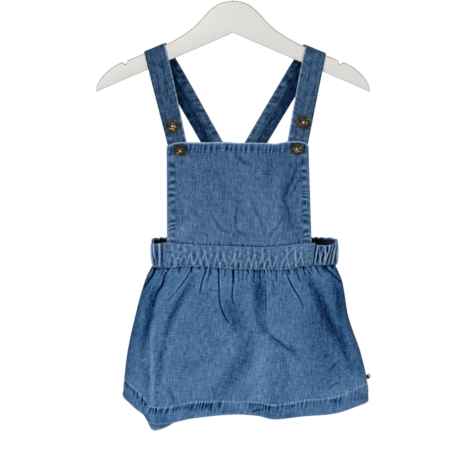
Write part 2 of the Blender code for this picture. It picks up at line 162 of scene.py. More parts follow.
def emboss(tree, shader, height, strength, depth):
    bump = addNode(tree, "Bump", {"Height": height, "Strength": strength, "Distance": depth})
    tree.links.new(bump.outputs[0], shader.inputs["Normal"])


def objectPlace(tree):
    return addNode(tree, "TexCoord").outputs["Object"]


def scaled(tree, place, scale):
    return addNode(tree, "Mapping", {"Vector": place, "Scale": scale}).outputs[0]


def noiseFrom(tree, place, scale, detail, settings=None, **inputs):
    inputs = {"Vector": place, "Scale": scale, "Detail": detail, **inputs}
    return addNode(tree, "TexNoise", inputs, **(settings or {})).outputs["Fac"]


# Pitches in metres. Each noise has its turns a metre along weft and warp, and its strength.
weave = {
    "noises": {
        "slub": (840, 115, 0.62),
        "broadSlub": (330, 26, 0.14),
        "weftSlub": (130, 840, 0.36),
        "grain": (820, 740, 0.52),
        "cloud": (30, 24, 0.1),
    },
    "lines": {"twill": (0.00078, math.radians(-60), 0.05), "warp": (0.00046, 0.0, 0.03)},
    "detail": 2.5,
    "rough": 0.55,
    "relief": {"twill": 0.5, "warp": 0.3, "grain": 0.4},
    "bump": (0.6, 0.00016),
    "wearAndShade": 0.42,
    "middleTone": 0.5,
    "roughness": 0.95,
    "specular": 0.04,
}

# middle green of each cloth, and how far its red and blue are from that, out of 255
denimTones = {
    "skirt": (112, -37, 41),
    "bib": (101, -31, 35),
    "band": (109, -33, 36),
    "strap": (88, -27, 31),
    "inside": (110, -38, 42),
}
# wear and painted shade, from a shaded crease to a worn ridge, and the change in green
washSteps = ((0.0, -92), (0.25, -38), (0.5, 0), (0.75, 29), (1.0, 70))


darkest = 12
displayGamma = 2.2


def washed(name):
    # the ramp of a cloth's tones; near black and near white the hue fades
    middle, red, blue = denimTones[name]
    stops = []
    for place, step in washSteps:
        level = max(middle + step, darkest)
        hue = min(level / 50, 1.0) * min((255 - level) / 125, 1.0)
        shown = (level + red * hue, level, level + blue * max(hue, 0.85))
        stops.append((place, tuple((value / 255) ** displayGamma for value in shown)))
    return stops


def weaveGroup():
    tree, entry, leave = newGroup(
        "denimWeave", [("Cloth", "Vector")], [("Tone", "Float"), ("Height", "Float")]
    )
    cloth = entry.outputs["Cloth"]
    heights = {}
    for name, (weft, warp, _) in weave["noises"].items():
        place = scaled(tree, cloth, (weft, warp, 1))
        flat = {"noise_dimensions": "2D"}
        heights[name] = noiseFrom(tree, place, 1, weave["detail"], flat, Roughness=weave["rough"])
    for name, (pitch, turn, _) in weave["lines"].items():
        place = addNode(tree, "Mapping", {"Vector": cloth, "Rotation": (0, 0, turn)})
        # a wave texture has 20 / tau lines a unit
        inputs = {"Vector": place.outputs[0], "Scale": math.tau / 20 / pitch, "Distortion": 0}
        heights[name] = addNode(tree, "TexWave", inputs).outputs["Fac"]
    tone = 0.0
    for name, (_, _, strength) in {**weave["noises"], **weave["lines"]}.items():
        swing = calc(tree, "MULTIPLY_ADD", heights[name], strength, -strength / 2)
        tone = calc(tree, "ADD", swing, tone)
    height = heights["slub"]
    for name, share in weave["relief"].items():
        height = calc(tree, "MULTIPLY_ADD", heights[name], share, height)
    tree.links.new(tone, leave.inputs["Tone"])
    tree.links.new(height, leave.inputs["Height"])
    return tree


def denimMaterial(name, group, tones, look, embossed=True):
    made, tree, shader = newMaterial(name)
    cloth = addNode(tree, "UVMap", uv_map="cloth")
    cell = addNode(tree, "Group", {"Cloth": cloth.outputs["UV"]}, node_tree=group)
    # the cloth's wear and painted shade, from its attribute
    wearAndShade = addNode(tree, "Attribute", attribute_name="wearAndShade")
    tone = calc(tree, "MULTIPLY_ADD", wearAndShade.outputs["Fac"], look["wearAndShade"], cell.outputs["Tone"])
    tint(tree, shader, calc(tree, "ADD", tone, look["middleTone"], clamp=True), tones)
    if embossed:
        emboss(tree, shader, cell.outputs["Height"], *weave["bump"])
    setShader(shader, roughness=weave["roughness"], specular=look["specular"])
    return made


# The inside of the elastic band is painted nearly black, as painted shade inside the waist.
lining = {
    "wearAndShade": 0.45,
    "middleTone": 0.3,
    "specular": 0.05,
    "tones": (
        (0.0, (0.0035, 0.004, 0.006)),
        (0.45, (0.011, 0.013, 0.02)),
        (0.75, (0.034, 0.048, 0.08)),
        (1.0, (0.15, 0.21, 0.3)),
    ),
}


# noise scale and detail, low and high tones, roughness, specular, relief
plainFinishes = {
    "thread": ("blueThread", 900, 1, (0.075, 0.155, 0.285), (0.165, 0.265, 0.405), 0.7, 0.2, 0),
    "lilac": ("lilacThread", 1500, 1, (0.46, 0.49, 0.66), (0.74, 0.76, 0.88), 0.6, 0.25, 0),
    "tapeDark": ("tapeDark", 1400, 2, (0.01, 0.011, 0.016), (0.03, 0.032, 0.042), 0.8, 0.15, 0.5),
    "tapePale": ("tapePale", 1400, 2, (0.38, 0.42, 0.5), (0.62, 0.65, 0.72), 0.8, 0.15, 0.5),
    "floor": ("paleFloor", 5, 2, (0.9, 0.9, 0.9), (0.94, 0.94, 0.94), 0.9, 0.1, 0),
}


plainStops = (0.3, 0.7)
reliefDepth = 0.0002


def plainMaterial(name, scale, detail, low, high, roughness, specular, relief):
    made, tree, shader = newMaterial(name)
    noise = noiseFrom(tree, objectPlace(tree), scale, detail)
    tint(tree, shader, noise, list(zip(plainStops, (low, high))))
    if relief:
        emboss(tree, shader, noise, relief, reliefDepth)
    setShader(shader, roughness=roughness, specular=specular)
    return made


horn = {
    "broad": (210, 4),
    "rough": 0.62,
    "distortion": 1.6,
    "fine": (1300, 2),
    "fineShare": 0.3,
    "grooveShadeShare": -0.16,
    "tones": (
        (0.36, (0.007, 0.005, 0.002)),
        (0.49, (0.04, 0.031, 0.012)),
        (0.57, (0.125, 0.095, 0.036)),
        (0.67, (0.5, 0.425, 0.25)),
    ),
    "relief": 0.25,
    "roughness": 0.42,
    "specular": 0.14,
}


def hornMaterial():
    made, tree, shader = newMaterial("mottledHorn")
    place = objectPlace(tree)
    broad = noiseFrom(
        tree, place, *horn["broad"], Roughness=horn["rough"], Distortion=horn["distortion"]
    )
    fine = noiseFrom(tree, place, *horn["fine"])
    tone = calc(tree, "MULTIPLY_ADD", fine, horn["fineShare"], broad)
    tone = calc(tree, "SUBTRACT", tone, horn["fineShare"] / 2)
    # darker where the blank has painted shade, in its groove, holes and side
    grooveShade = addNode(tree, "Attribute", attribute_name="grooveShade")
    tone = calc(tree, "MULTIPLY_ADD", grooveShade.outputs["Fac"], horn["grooveShadeShare"], tone)
    tint(tree, shader, tone, horn["tones"])
    emboss(tree, shader, tone, horn["relief"], reliefDepth)
    setShader(shader, roughness=horn["roughness"], specular=horn["specular"])
    return made


paint = {
    "grain": ((26, 190, 190), 4, 0.6),
    "cloud": (14, 2),
    "cloudShare": 0.5,
    "tones": ((0.4, (0.64, 0.631, 0.603)), (1.0, (0.7, 0.694, 0.671))),
    # a brown-grey line painted on the upper front edge as painted shade, and the slopes where it
    # shows
    "shadedEdge": (0.25, 0.215, 0.175, 1),
    "shadedEdgeShare": 0.85,
    "shadedEdgeSlopes": ((0.12, 0.0), (0.35, 1.0), (0.72, 1.0), (0.86, 0.0)),
    "frontGain": -2.5,
    "relief": (0.15, 0.0004),
    "roughness": 0.42,
    "specular": 0.4,
}


def paintMaterial():
    made, tree, shader = newMaterial("whitePaintedWood")
    place = objectPlace(tree)
    stretch, detail, rough = paint["grain"]
    grain = noiseFrom(tree, scaled(tree, place, stretch), 1, detail, Roughness=rough)
    cloud = noiseFrom(tree, place, *paint["cloud"])
    tone = calc(tree, "MULTIPLY_ADD", cloud, paint["cloudShare"], grain)
    facing = addNode(tree, "SeparateXYZ", {0: addNode(tree, "TexCoord").outputs["Normal"]})
    # the upper front edge, picked by its facing, gets a brown-grey line of painted shade
    slopes = [(spot, (level,) * 3) for spot, level in paint["shadedEdgeSlopes"]]
    front = calc(tree, "MULTIPLY", facing.outputs["Y"], paint["frontGain"], clamp=True)
    wornAndShaded = calc(tree, "MULTIPLY", ramp(tree, facing.outputs["Z"], slopes), front)
    factor = calc(tree, "MULTIPLY", wornAndShaded, paint["shadedEdgeShare"])
    inputs = {"Factor": factor, 6: ramp(tree, tone, paint["tones"]), 7: paint["shadedEdge"]}
    mixed = addNode(tree, "Mix", inputs, data_type="RGBA")
    tree.links.new(mixed.outputs[2], shader.inputs["Base Color"])
    emboss(tree, shader, grain, *paint["relief"])
    setShader(shader, roughness=paint["roughness"], specular=paint["specular"])
    return made


wireFinish = {
    "brushed": ((900, 900, 120), 3),
    "tones": ((0.3, (0.56, 0.56, 0.58)), (0.7, (0.7, 0.7, 0.72))),
    "roughness": (0.16, 0.12),
}


def wireMaterial():
    made, tree, shader = newMaterial("brightWire")
    stretch, detail = wireFinish["brushed"]
    noise = noiseFrom(tree, scaled(tree, objectPlace(tree), stretch), 1, detail)
    tint(tree, shader, noise, wireFinish["tones"])
    rough = calc(tree, "MULTIPLY_ADD", noise, *wireFinish["roughness"])
    tree.links.new(rough, shader.inputs["Roughness"])
    setShader(shader, metallic=1.0)
    return made


def seenDirectly(tree):
    # 1 for a ray that shows this surface, 0 for the light that it gives
    rays = addNode(tree, "LightPath")
    seen = calc(tree, "MAXIMUM", rays.outputs["Is Camera Ray"], rays.outputs["Is Glossy Ray"])
    return calc(tree, "MAXIMUM", seen, rays.outputs["Is Transmission Ray"])


def makeMaterials():
    group = weaveGroup()
    made = {key: plainMaterial(*values) for key, values in plainFinishes.items()}
    for key in denimTones:
        name = "denimInside" if key == "inside" else f"{key}Denim"
        made[key] = denimMaterial(name, group, washed(key), weave)
    # the back band's inner face, painted nearly black as painted shade
    made["lining"] = denimMaterial("paintedShadeLining", group, lining["tones"], lining, embossed=False)
    made["horn"] = hornMaterial()
    made["wood"] = paintMaterial()
    made["steel"] = wireMaterial()
    # the floor glows a little, so it is as white as the world
    tree = made["floor"].node_tree
    shader = tree.nodes["Principled BSDF"]
    shader.inputs["Emission Color"].default_value = (1, 1, 1, 1)
    glow = calc(tree, "MULTIPLY", seenDirectly(tree), studio["floorGlow"])
    tree.links.new(glow, shader.inputs["Emission Strength"])
    return made


def makeWorld():
    world = bpy.data.worlds.new("studioWorld")
    world.use_nodes = True
    tree = world.node_tree
    back = tree.nodes["Background"]
    level = studio["worldLight"]
    back.inputs["Color"].default_value = (1, 1, 1, 1)
    strength = calc(tree, "MULTIPLY_ADD", seenDirectly(tree), 1 - level, level)
    tree.links.new(strength, back.inputs["Strength"])
    bpy.context.scene.world = world


# the garment's own measures, as its solids have them
seamGap = 0.0003
sideBlend = 0.012

# drop below the waist seam, left, right, front, back, boxiness
skirtRows = (
    (0, -0.0918, 0.1165, 0.02, 0.02, 4), (0.02, -0.1008, 0.1245, 0.025, 0.024, 3.6),
    (0.06, -0.1118, 0.132, 0.031, 0.029, 3.2), (0.1, -0.1205, 0.145, 0.035, 0.032, 3),
    (0.14, -0.1245, 0.1535, 0.0375, 0.034, 3), (0.19, -0.126, 0.1548, 0.0385, 0.0345, 3),
)

# share across from the left seam, height
hemRows = {
    "front": (
        (0, -0.509), (0.04, -0.514), (0.075, -0.519), (0.11, -0.5262), (0.132, -0.5312),
        (0.152, -0.5395), (0.21, -0.5405), (0.31, -0.5335), (0.456, -0.5288), (0.54, -0.5303),
        (0.6, -0.5345), (0.71, -0.5312), (0.815, -0.5288), (0.915, -0.521), (0.965, -0.519),
        (1, -0.5155),
    ),
    "back": (
        (0, -0.509), (0.08, -0.523), (0.12, -0.541), (0.148, -0.559), (0.178, -0.56),
        (0.22, -0.5545), (0.3, -0.539), (0.5, -0.532), (0.68, -0.5355), (0.85, -0.53), (1, -0.5155),
    ),
}

# x, upper and lower seam line of the front waistband
waistRows = (
    (-0.095, -0.3362, -0.3645), (-0.075, -0.3362, -0.3642), (-0.04, -0.338, -0.3626),
    (-0.01, -0.3392, -0.3648), (0.035, -0.3406, -0.3664), (0.058, -0.3392, -0.3662),
    (0.078, -0.3366, -0.3626), (0.12, -0.3362, -0.3612),
)
backWaistTop = -0.3362
backWaistBottom = -0.363


def tableAt(rows, position):
    # a smooth curve through a table's rows, at every position
    rows = np.array(rows, float)
    position = np.asarray(position, float)
    last = len(rows) - 2
    index = np.clip(np.searchsorted(rows[:, 0], position, side="right") - 1, 0, last)
    before, after = rows[index], rows[index + 1]
    earlier, later = rows[np.maximum(index - 1, 0)], rows[np.minimum(index + 2, last + 1)]
    span = after[..., :1] - before[..., :1]
    t = np.clip((position[..., None] - before[..., :1]) / span, 0, 1)
    leaving = (after - earlier) / (after[..., :1] - earlier[..., :1]) * span
    arriving = (later - before) / (later[..., :1] - before[..., :1]) * span
    return (
        before * (2 * t**3 - 3 * t**2 + 1)
        + leaving * (t**3 - 2 * t**2 + t)
        + after * (3 * t**2 - 2 * t**3)
        + arriving * (t**3 - t**2)
    )


def unit(vectors):
    return vectors / np.linalg.norm(vectors, axis=-1, keepdims=True)


def smoothStep(t):
    t = np.clip(t, 0, 1)
    return t * t * (3 - 2 * t)


def ease(value, start, width):
    # 0 at the start and 1 a width later; a width under zero goes the other way
    return smoothStep((value - start) / width)


def bell(distance, width):
    return np.exp(-((distance / width) ** 2))


def line(distance, strength, place, width):
    # a soft line on the cloth, where the distance is near its place
    return strength * bell(distance - place, width)


# the skirt's sections, from the waist seam down
atlasDrops = np.linspace(0, 0.24, 121)
atlasShares = np.linspace(0, 1, 1601)
atlasTurn = np.linspace(0, math.pi, 2401)


def makeAtlas():
    # level sections of the skirt, each from the left seam to the right one
    sections = {"front": [], "back": []}
    along, deep = np.cos(atlasTurn), np.abs(np.sin(atlasTurn))
    for drop in atlasDrops:
        _, left, right, front, back, boxy = tableAt(skirtRows, min(drop, skirtRows[-1][0]))
        x = (left + right) / 2 - (right - left) / 2 * np.sign(along) * np.abs(along) ** (2 / boxy)
        for side, reach in (("front", -front), ("back", back)):
            y = reach * deep ** (2 / boxy)
            length = np.concatenate([[0], np.cumsum(np.hypot(np.diff(x), np.diff(y)))])
            wanted = atlasShares * length[-1]
            level = [np.interp(wanted, length, x), np.interp(wanted, length, y), wanted]
            sections[side].append(level)
    return {side: np.array(levels) for side, levels in sections.items()}


atlas = makeAtlas()


def betweenCells(field, row, column):
    # a grid's value at fractional rows and columns
    r = np.minimum(row.astype(int), field.shape[0] - 2)
    c = np.minimum(column.astype(int), field.shape[1] - 2)
    f, g = row - r, column - c
    if field.ndim > 2:
        f, g = f[..., None], g[..., None]
    upper = field[r, c] * (1 - g) + field[r, c + 1] * g
    lower = field[r + 1, c] * (1 - g) + field[r + 1, c + 1] * g
    return upper * (1 - f) + lower * f


def ringAt(side, share, drop):
    # x, y and the length from the left seam, on the section at this drop
    row = np.clip(drop / atlasDrops[1], 0, len(atlasDrops) - 1.001)
    column = np.clip(share, 0, 1) * (len(atlasShares) - 1)
    return [betweenCells(atlas[side][:, kind], row, column) for kind in range(3)]


def ringOut(side, share, drop):
    # the level direction out of the cloth
    step = 0.006
    x0, y0, _ = ringAt(side, share - step, drop)
    x1, y1, _ = ringAt(side, share + step, drop)
    run = unit(np.stack([x1 - x0, y1 - y0], -1))
    run = run if side == "front" else -run
    return run[..., 1], -run[..., 0]


def waistLine(x, y):
    # upper and lower waist seams, level behind the side seams
    _, frontTop, frontBottom = np.moveaxis(tableAt(waistRows, x), -1, 0)
    share = smoothStep(-y / sideBlend)
    pairs = ((backWaistTop, frontTop), (backWaistBottom, frontBottom))
    return [back + (front - back) * share for back, front in pairs]


def rumple(u, v, size, seed, stretch=1.0):
    # a soft uneven swell, about -1 to 1
    rng = random.Random(seed)
    total = 0
    for _ in range(9):
        angle = rng.uniform(0, math.tau)
        wave = size * rng.uniform(0.7, 1.6)
        phase = rng.uniform(0, math.tau)
        across = math.cos(angle) * u + math.sin(angle) * v / stretch
        total = total + np.sin(across * math.tau / wave + phase)
    return total / 4.2


def softened(field, radius):
    # the field blurred over this many grid steps each way
    reach = int(radius * 2.5) + 1
    weights = np.exp(-0.5 * (np.arange(-reach, reach + 1) / radius) ** 2)
    weights /= weights.sum()
    padded = np.pad(field, reach, mode="edge")
    rows = sum(w * padded[:, k : k + field.shape[1]] for k, w in enumerate(weights))
    return sum(w * rows[k : k + field.shape[0]] for k, w in enumerate(weights))


def lowered(field, reach):
    # the lowest value within a few grid steps
    rows, columns = field.shape
    padded = np.pad(field, reach, mode="edge")
    moves = range(2 * reach + 1)
    return np.min([padded[r : r + rows, c : c + columns] for r in moves for c in moves], axis=0)


def rumpled(u, v, layers):
    # swells of several sizes: height, size, seed and stretch of each
    return sum(layer[0] * rumple(u, v, *layer[1:]) for layer in layers)


def raised(push, radius, depth):
    # from -1 in the hollows of this size to 1 on the ridges
    return np.tanh((push - softened(push, radius)) / depth)


def smoothPath(path, pieces=7):
    path = np.array(path, float)
    if len(path) == 2:
        return path
    padded = np.vstack([2 * path[0] - path[1], path, 2 * path[-1] - path[-2]])
    found = []
    for a, b, c, d in zip(padded, padded[1:], padded[2:], padded[3:]):
        for t in np.linspace(0, 1, pieces, endpoint=False):
            square = (2 * a - 5 * b + 4 * c - d) * t**2
            found.append(0.5 * (2 * b + (c - a) * t + square + (3 * b - a - 3 * c + d) * t**3))
    return np.array([*found, path[-1]])


def nearPath(u, v, path, reach):
    # vertices near a path, distance to its right and share along it
    path = smoothPath(path)
    low, high = path.min(0) - reach, path.max(0) + reach
    near = (u > low[0]) & (u < high[0]) & (v > low[1]) & (v < high[1])
    pu, pv = u[near], v[near]
    best = np.full(pu.shape, 1e9)
    sideways = np.zeros(pu.shape)
    along = np.zeros(pu.shape)
    steps = np.linalg.norm(np.diff(path, axis=0), axis=1)
    whole = steps.sum()
    done = 0.0
    for start, end, length in zip(path, path[1:], steps):
        run = (end - start) / length
        t = np.clip((pu - start[0]) * run[0] + (pv - start[1]) * run[1], 0, length)
        du, dv = pu - start[0] - run[0] * t, pv - start[1] - run[1] * t
        distance = np.hypot(du, dv)
        closer = distance < best
        best = np.where(closer, distance, best)
        sideways = np.where(closer, np.sign(dv * run[0] - du * run[1]) * -distance, sideways)
        along = np.where(closer, (done + t) / whole, along)
        done += length
    return near, sideways, along


def pleat(push, u, v, path, width, depth, core=0.0, coreDepth=0.0, lip=0.0, fade=0.6, rooted=True):
    # A soft trough along a path, with a sharp crease in it and a lip beside that, on the right
    # where it is over zero. Millimetres.
    path = [(a / 1000, b / 1000) for a, b in path]
    near, sideways, along = nearPath(u, v, path, max(width, core) * 3 / 1000)
    along = np.clip(along, 0.001, 0.999)
    strength = (np.cos(math.pi / 2 * along) if rooted else np.sin(math.pi * along)) ** fade
    t = sideways * 1000 / width
    add = -depth * strength * (1 - 0.5 * t**2) * bell(t, 1)
    if core:
        t = sideways * 1000 / core
        sharp = strength**0.8 * (0.72 + 0.28 * np.sin(along * 11 + path[0][0] * 2000))
        add -= coreDepth * sharp * np.exp(-1.5 * np.abs(t) ** 1.2)
        add += abs(lip) * sharp * bell(t * math.copysign(1, lip) - 1.7, 1)
    push[near] += add / 1000


def freeCrease(push, u, v, path, width, depth, core=0.0, coreDepth=0.0, lip=0.0, fade=0.7):
    # the same, but fading out at both ends
    pleat(push, u, v, path, width, depth, core, coreDepth, lip, fade, rooted=False)


def puckers(s, pitch, seed, sharp=1.6, wander=1.0):
    # uneven small ripples along a seam, with narrow crests, -0.4 to 0.6
    rng = random.Random(seed)
    phase = s / pitch
    for wave, swing in ((pitch * 7.3, 0.38), (pitch * 3.1, 0.15), (pitch * 17, 0.7)):
        phase = phase + swing * wander * np.sin(s * math.tau / wave + rng.uniform(0, math.tau))
    size = 0.7 + 0.2 * np.sin(s * math.tau / (pitch * 4.7) + rng.uniform(0, math.tau))
    size = size + 0.18 * np.sin(s * math.tau / (pitch * 2.3) + rng.uniform(0, math.tau))
    return ((0.5 + 0.5 * np.cos(phase * math.tau)) ** sharp - 0.38) * size


def evenSpots(length, step, edge=()):
    # places from 0 to 1 about a step apart, closer at the ends for a round edge
    count = max(int(round(length / step)), 4)
    middle = np.linspace(0, 1, count + 1)[1:-1]
    ends = np.array([0.0, *edge]) / length
    first = ends[-1] + 0.3 / count
    inside = middle[(middle > first) & (middle < 1 - first)]
    return np.concatenate([ends, inside, 1 - ends[::-1]])


def roundEdge(distance, radius):
    # how much of its thickness a fold keeps this far from its edge
    t = np.clip(1 - distance / radius, 0, 1)
    return 0.22 + 0.78 * np.sqrt(1 - t**2)


def pushedOut(x, y, z, outX, outY, push):
    # the cloth's middle surface and its level direction out
    middle = np.stack([x + outX * push, y + outY * push, z], -1)
    return middle, np.stack(np.broadcast_arrays(outX, outY, 0 * z), -1)


def gridNormals(points):
    down, across = np.gradient(points, axis=(0, 1))
    normal = np.cross(across, down)
    return normal / np.maximum(np.linalg.norm(normal, axis=-1, keepdims=True), 1e-12)


def newMesh(name, points, faces, finishes):
    mesh = bpy.data.meshes.new(name)
    mesh.from_pydata(np.asarray(points).tolist(), [], faces)
    for material in finishes:
        mesh.materials.append(material)
    mesh.shade_smooth()
    return mesh


def clothShell(
    name, middle, out, outer, inner, uv, wearAndShade, finishes, skip=2, insideWearAndShade=0.0, bound=0
):
    # a closed wall; its inner face skips rows and columns, and has the last finish past the bound
    rows, columns = middle.shape[:2]
    keepRows = sorted(set(range(0, rows, skip)) | {rows - 1})
    keepColumns = sorted(set(range(0, columns, skip)) | {columns - 1})
    kept = np.ix_(keepRows, keepColumns)
    outerPoints = middle + out * outer[..., None]
    innerPoints = (middle - out * inner[..., None])[kept]
    innerRows, innerColumns = innerPoints.shape[:2]
    a = np.arange(rows * columns).reshape(rows, columns)
    b = np.arange(innerRows * innerColumns).reshape(innerRows, innerColumns) + rows * columns
    quads = np.stack([a[:-1, :-1], a[1:, :-1], a[1:, 1:], a[:-1, 1:]], -1).reshape(-1, 4)
    turned = np.stack([b[:-1, :-1], b[:-1, 1:], b[1:, 1:], b[1:, :-1]], -1).reshape(-1, 4)
    edges = []
    for near, far, places, backwards in (
        (a[0], b[0], keepColumns, True),
        (a[-1], b[-1], keepColumns, False),
        (a[:, 0], b[:, 0], keepRows, False),
        (a[:, -1], b[:, -1], keepRows, True),
    ):
        for index, (start, end) in enumerate(zip(places, places[1:])):
            face = [*near[start : end + 1].tolist(), int(far[index + 1]), int(far[index])]
            edges.append(face[::-1] if backwards else face)
    faces = quads.tolist() + edges + turned.tolist()
    across = outerPoints[0, 1] - outerPoints[0, 0]
    down = outerPoints[1, 0] - outerPoints[0, 0]
    if np.dot(np.cross(down, across), out[0, 0]) < 0:
        faces = [face[::-1] for face in faces]
    points = np.concatenate([outerPoints.reshape(-1, 3), innerPoints.reshape(-1, 3)])
    mesh = newMesh(name, points, faces, finishes)
    places = np.concatenate([uv.reshape(-1, 2), uv[kept].reshape(-1, 2)])
    corners = np.zeros(len(mesh.loops), np.int32)
    mesh.loops.foreach_get("vertex_index", corners)
    layer = mesh.uv_layers.new(name="cloth")
    layer.uv.foreach_set("vector", places[corners].astype(np.float32).ravel())
    # each face's wear and painted shade, in the attribute that the denim reads
    insideWearAndShade = np.broadcast_to(insideWearAndShade, wearAndShade.shape)[kept]
    wornAndShaded = np.concatenate([wearAndShade.ravel(), insideWearAndShade.ravel()]).astype(np.float32)
    mesh.attributes.new("wearAndShade", "FLOAT", "POINT").data.foreach_set("value", wornAndShaded)
    slots = np.zeros(len(mesh.polygons), np.int32)
    slots[len(quads) + len(edges) + bound * (innerColumns - 1) :] = len(finishes) - 1
    mesh.polygons.foreach_set("material_index", slots)
    return newObject(name, mesh), outerPoints


def wearSlot(piece, slot, *nodes):
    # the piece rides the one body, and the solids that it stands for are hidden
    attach(piece, "root")
    if nodes:
        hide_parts(*nodes)


stitch = {"pitch": 0.0026, "length": 0.002, "radius": 0.0002, "sides": 5}


# place along a stitch, height over the cloth and width, in radii
stitchRings = ((0.0, -0.9, 0.5), (0.25, 0.35, 1.0), (0.75, 0.35, 1.0), (1.0, -0.9, 0.5))


def stitchesAlong(points, normals, pitch=stitch["pitch"], length=stitch["length"]):
    # small thread bars along a line on the cloth, sunk at both ends
    radius = stitch["radius"]
    steps = np.linalg.norm(np.diff(points, axis=0), axis=1)
    reached = np.concatenate([[0], np.cumsum(steps)])
    shares, lifts, _ = np.array(stitchRings).T
    found = []
    for index in range(int((reached[-1] - length) / pitch) + 1):
        spots = index * pitch + length * shares
        place = np.stack([np.interp(spots, reached, points[:, k]) for k in range(3)], -1)
        up = unit(np.stack([np.interp(spots, reached, normals[:, k]) for k in range(3)], -1))
        run = unit(place[-1] - place[0])
        found.append((place + up * (radius * lifts)[:, None], up, run))
    return found


def tubeFaces(rings, sides, base=0):
    # walls and ends of a tube whose points stand ring by ring
    faces = []
    for ring in range(rings - 1):
        low, high = base + ring * sides, base + (ring + 1) * sides
        for side in range(sides):
            after = (side + 1) % sides
            faces.append((low + side, low + after, high + after, high + side))
    faces.append(tuple(base + side for side in range(sides))[::-1])
    faces.append(tuple(base + (rings - 1) * sides + side for side in range(sides)))
    return faces


def stitchPiece(name, stitches, material):
    sides = stitch["sides"]
    points, faces = [], []
    for place, up, run in stitches:
        faces += tubeFaces(len(stitchRings), sides, len(points))
        for centre, high, (_, _, width) in zip(place, up, stitchRings):
            wide = np.cross(run, high)
            for side in range(sides):
                angle = math.tau * side / sides
                spoke = high * math.cos(angle) + wide * math.sin(angle)
                points.append(centre + spoke * stitch["radius"] * width)
    piece = newObject(name, newMesh(name, points, faces, [material]))
    wearSlot(piece, "denim")
    return piece


def lineOn(grid, normals, rows, columns):
    # points and normals on a grid at fractional rows and columns
    rows = np.clip(np.asarray(rows, float), 0, grid.shape[0] - 1.001)
    columns = np.clip(np.asarray(columns, float), 0, grid.shape[1] - 1.001)
    rows, columns = np.broadcast_arrays(rows, columns)
    return [betweenCells(field, rows, columns) for field in (grid, normals)]


# Distances in metres. Rumples are height, size, seed and stretch; puckers are height, pitch,
# seed and sharpness.
skirt = {
    "columnStep": 0.00092,
    "rowStep": 0.00112,
    "roundRows": (0.00015, 0.0005, 0.0011),
    "usualLength": 0.175,
    "outer": 0.0006,
    "inner": 0.0006,
    "hemInner": 0.0013,
    "edgeRadius": 0.0014,
    "tuck": 0.0036,
    "puff": (0.0012, 0.0018, 0.02),
    "seamPuckers": (0.0014, 0.0043, 23, 1.2),
    "seamPuckerReach": 0.004,
    "broadRumples": ((0.0012, 0.085, 3, 1.6), (0.0003, 0.03, 4, 1.5)),
    "smallRumple": (0.00013, 0.0115, 5, 1.3),
    "grainRumple": (0.00006, 0.005, 6),
    "hemPitch": 0.0041,
    "hemPucker": 0.0019,
    "hemReach": 0.0078,
    "hemStep": 0.0003,
    "hemRumple": (0.0006, 0.021, 8),
    # greatest depth of a fold at the waist seam, and its growth below
    "heldDepth": (0.0012, 0.9),
    "seamAllowance": -0.0011,
    "sideGroove": (-0.0006, 0, 0.0014),
    "uvStart": {"front": 0.0, "back": 0.6},
}


# Wear and painted shade: 1 is the palest, and 0 the cloth's own tone. Lines are strength, place and
# width.
skirtWearAndShade = {
    "fine": (1.6, 0.00045),
    "broad": (20, 0.003),
    "broadShares": (0.3, 0.6),
    "base": -0.04,
    "hemLine": (0.95, -0.0004, 0.0008),
    "hemShade": (-0.6, 0, 0.0062),
    "slitShade": (-1.9, 0.0036, 0.0032),
    "turnedHem": -0.1,
    "lowerCloth": 0.1,
    "edgeLine": (0.55, 0, 0.0013),
    "sideLine": (0.25, 0, 0.001),
    "underSeamShade": ((-0.14, 0.0022), (-0.27, 0.02)),
    "teeth": {"front": 1.5, "back": 0.7},
    "teethLine": (1, 0, 0.003),
    "sides": -0.42,
    "rightHollowShade": (-0.26, (0.103, 0.028), (0.076, 0.05)),
    "sideFold": (-1.9, 0, 0.0013),
    "rightCornerLight": 0.4,
    "insideShare": 0.7,
    "insideEdge": (0.5, 0, 0.0012),
}


# the drop and x of the fold beside the left seam, along which a dark line of shade is painted
sideFoldDrops = (-0.003, 0.01, 0.025)
sideFoldPlaces = (-0.0861, -0.0922, -0.1031)

# share across from the left seam, height of the turned hem
hemDepths = {
    "front": (
        (0, 0.0205), (0.08, 0.0208), (0.14, 0.0195), (0.22, 0.0186), (0.31, 0.018), (0.38, 0.016),
        (0.46, 0.014), (0.55, 0.0152), (0.7, 0.0174), (0.85, 0.0188), (0.93, 0.0205), (1, 0.02),
    ),
    "back": ((0, 0.0205), (0.2, 0.0165), (0.5, 0.016), (0.8, 0.0165), (1, 0.02)),
}

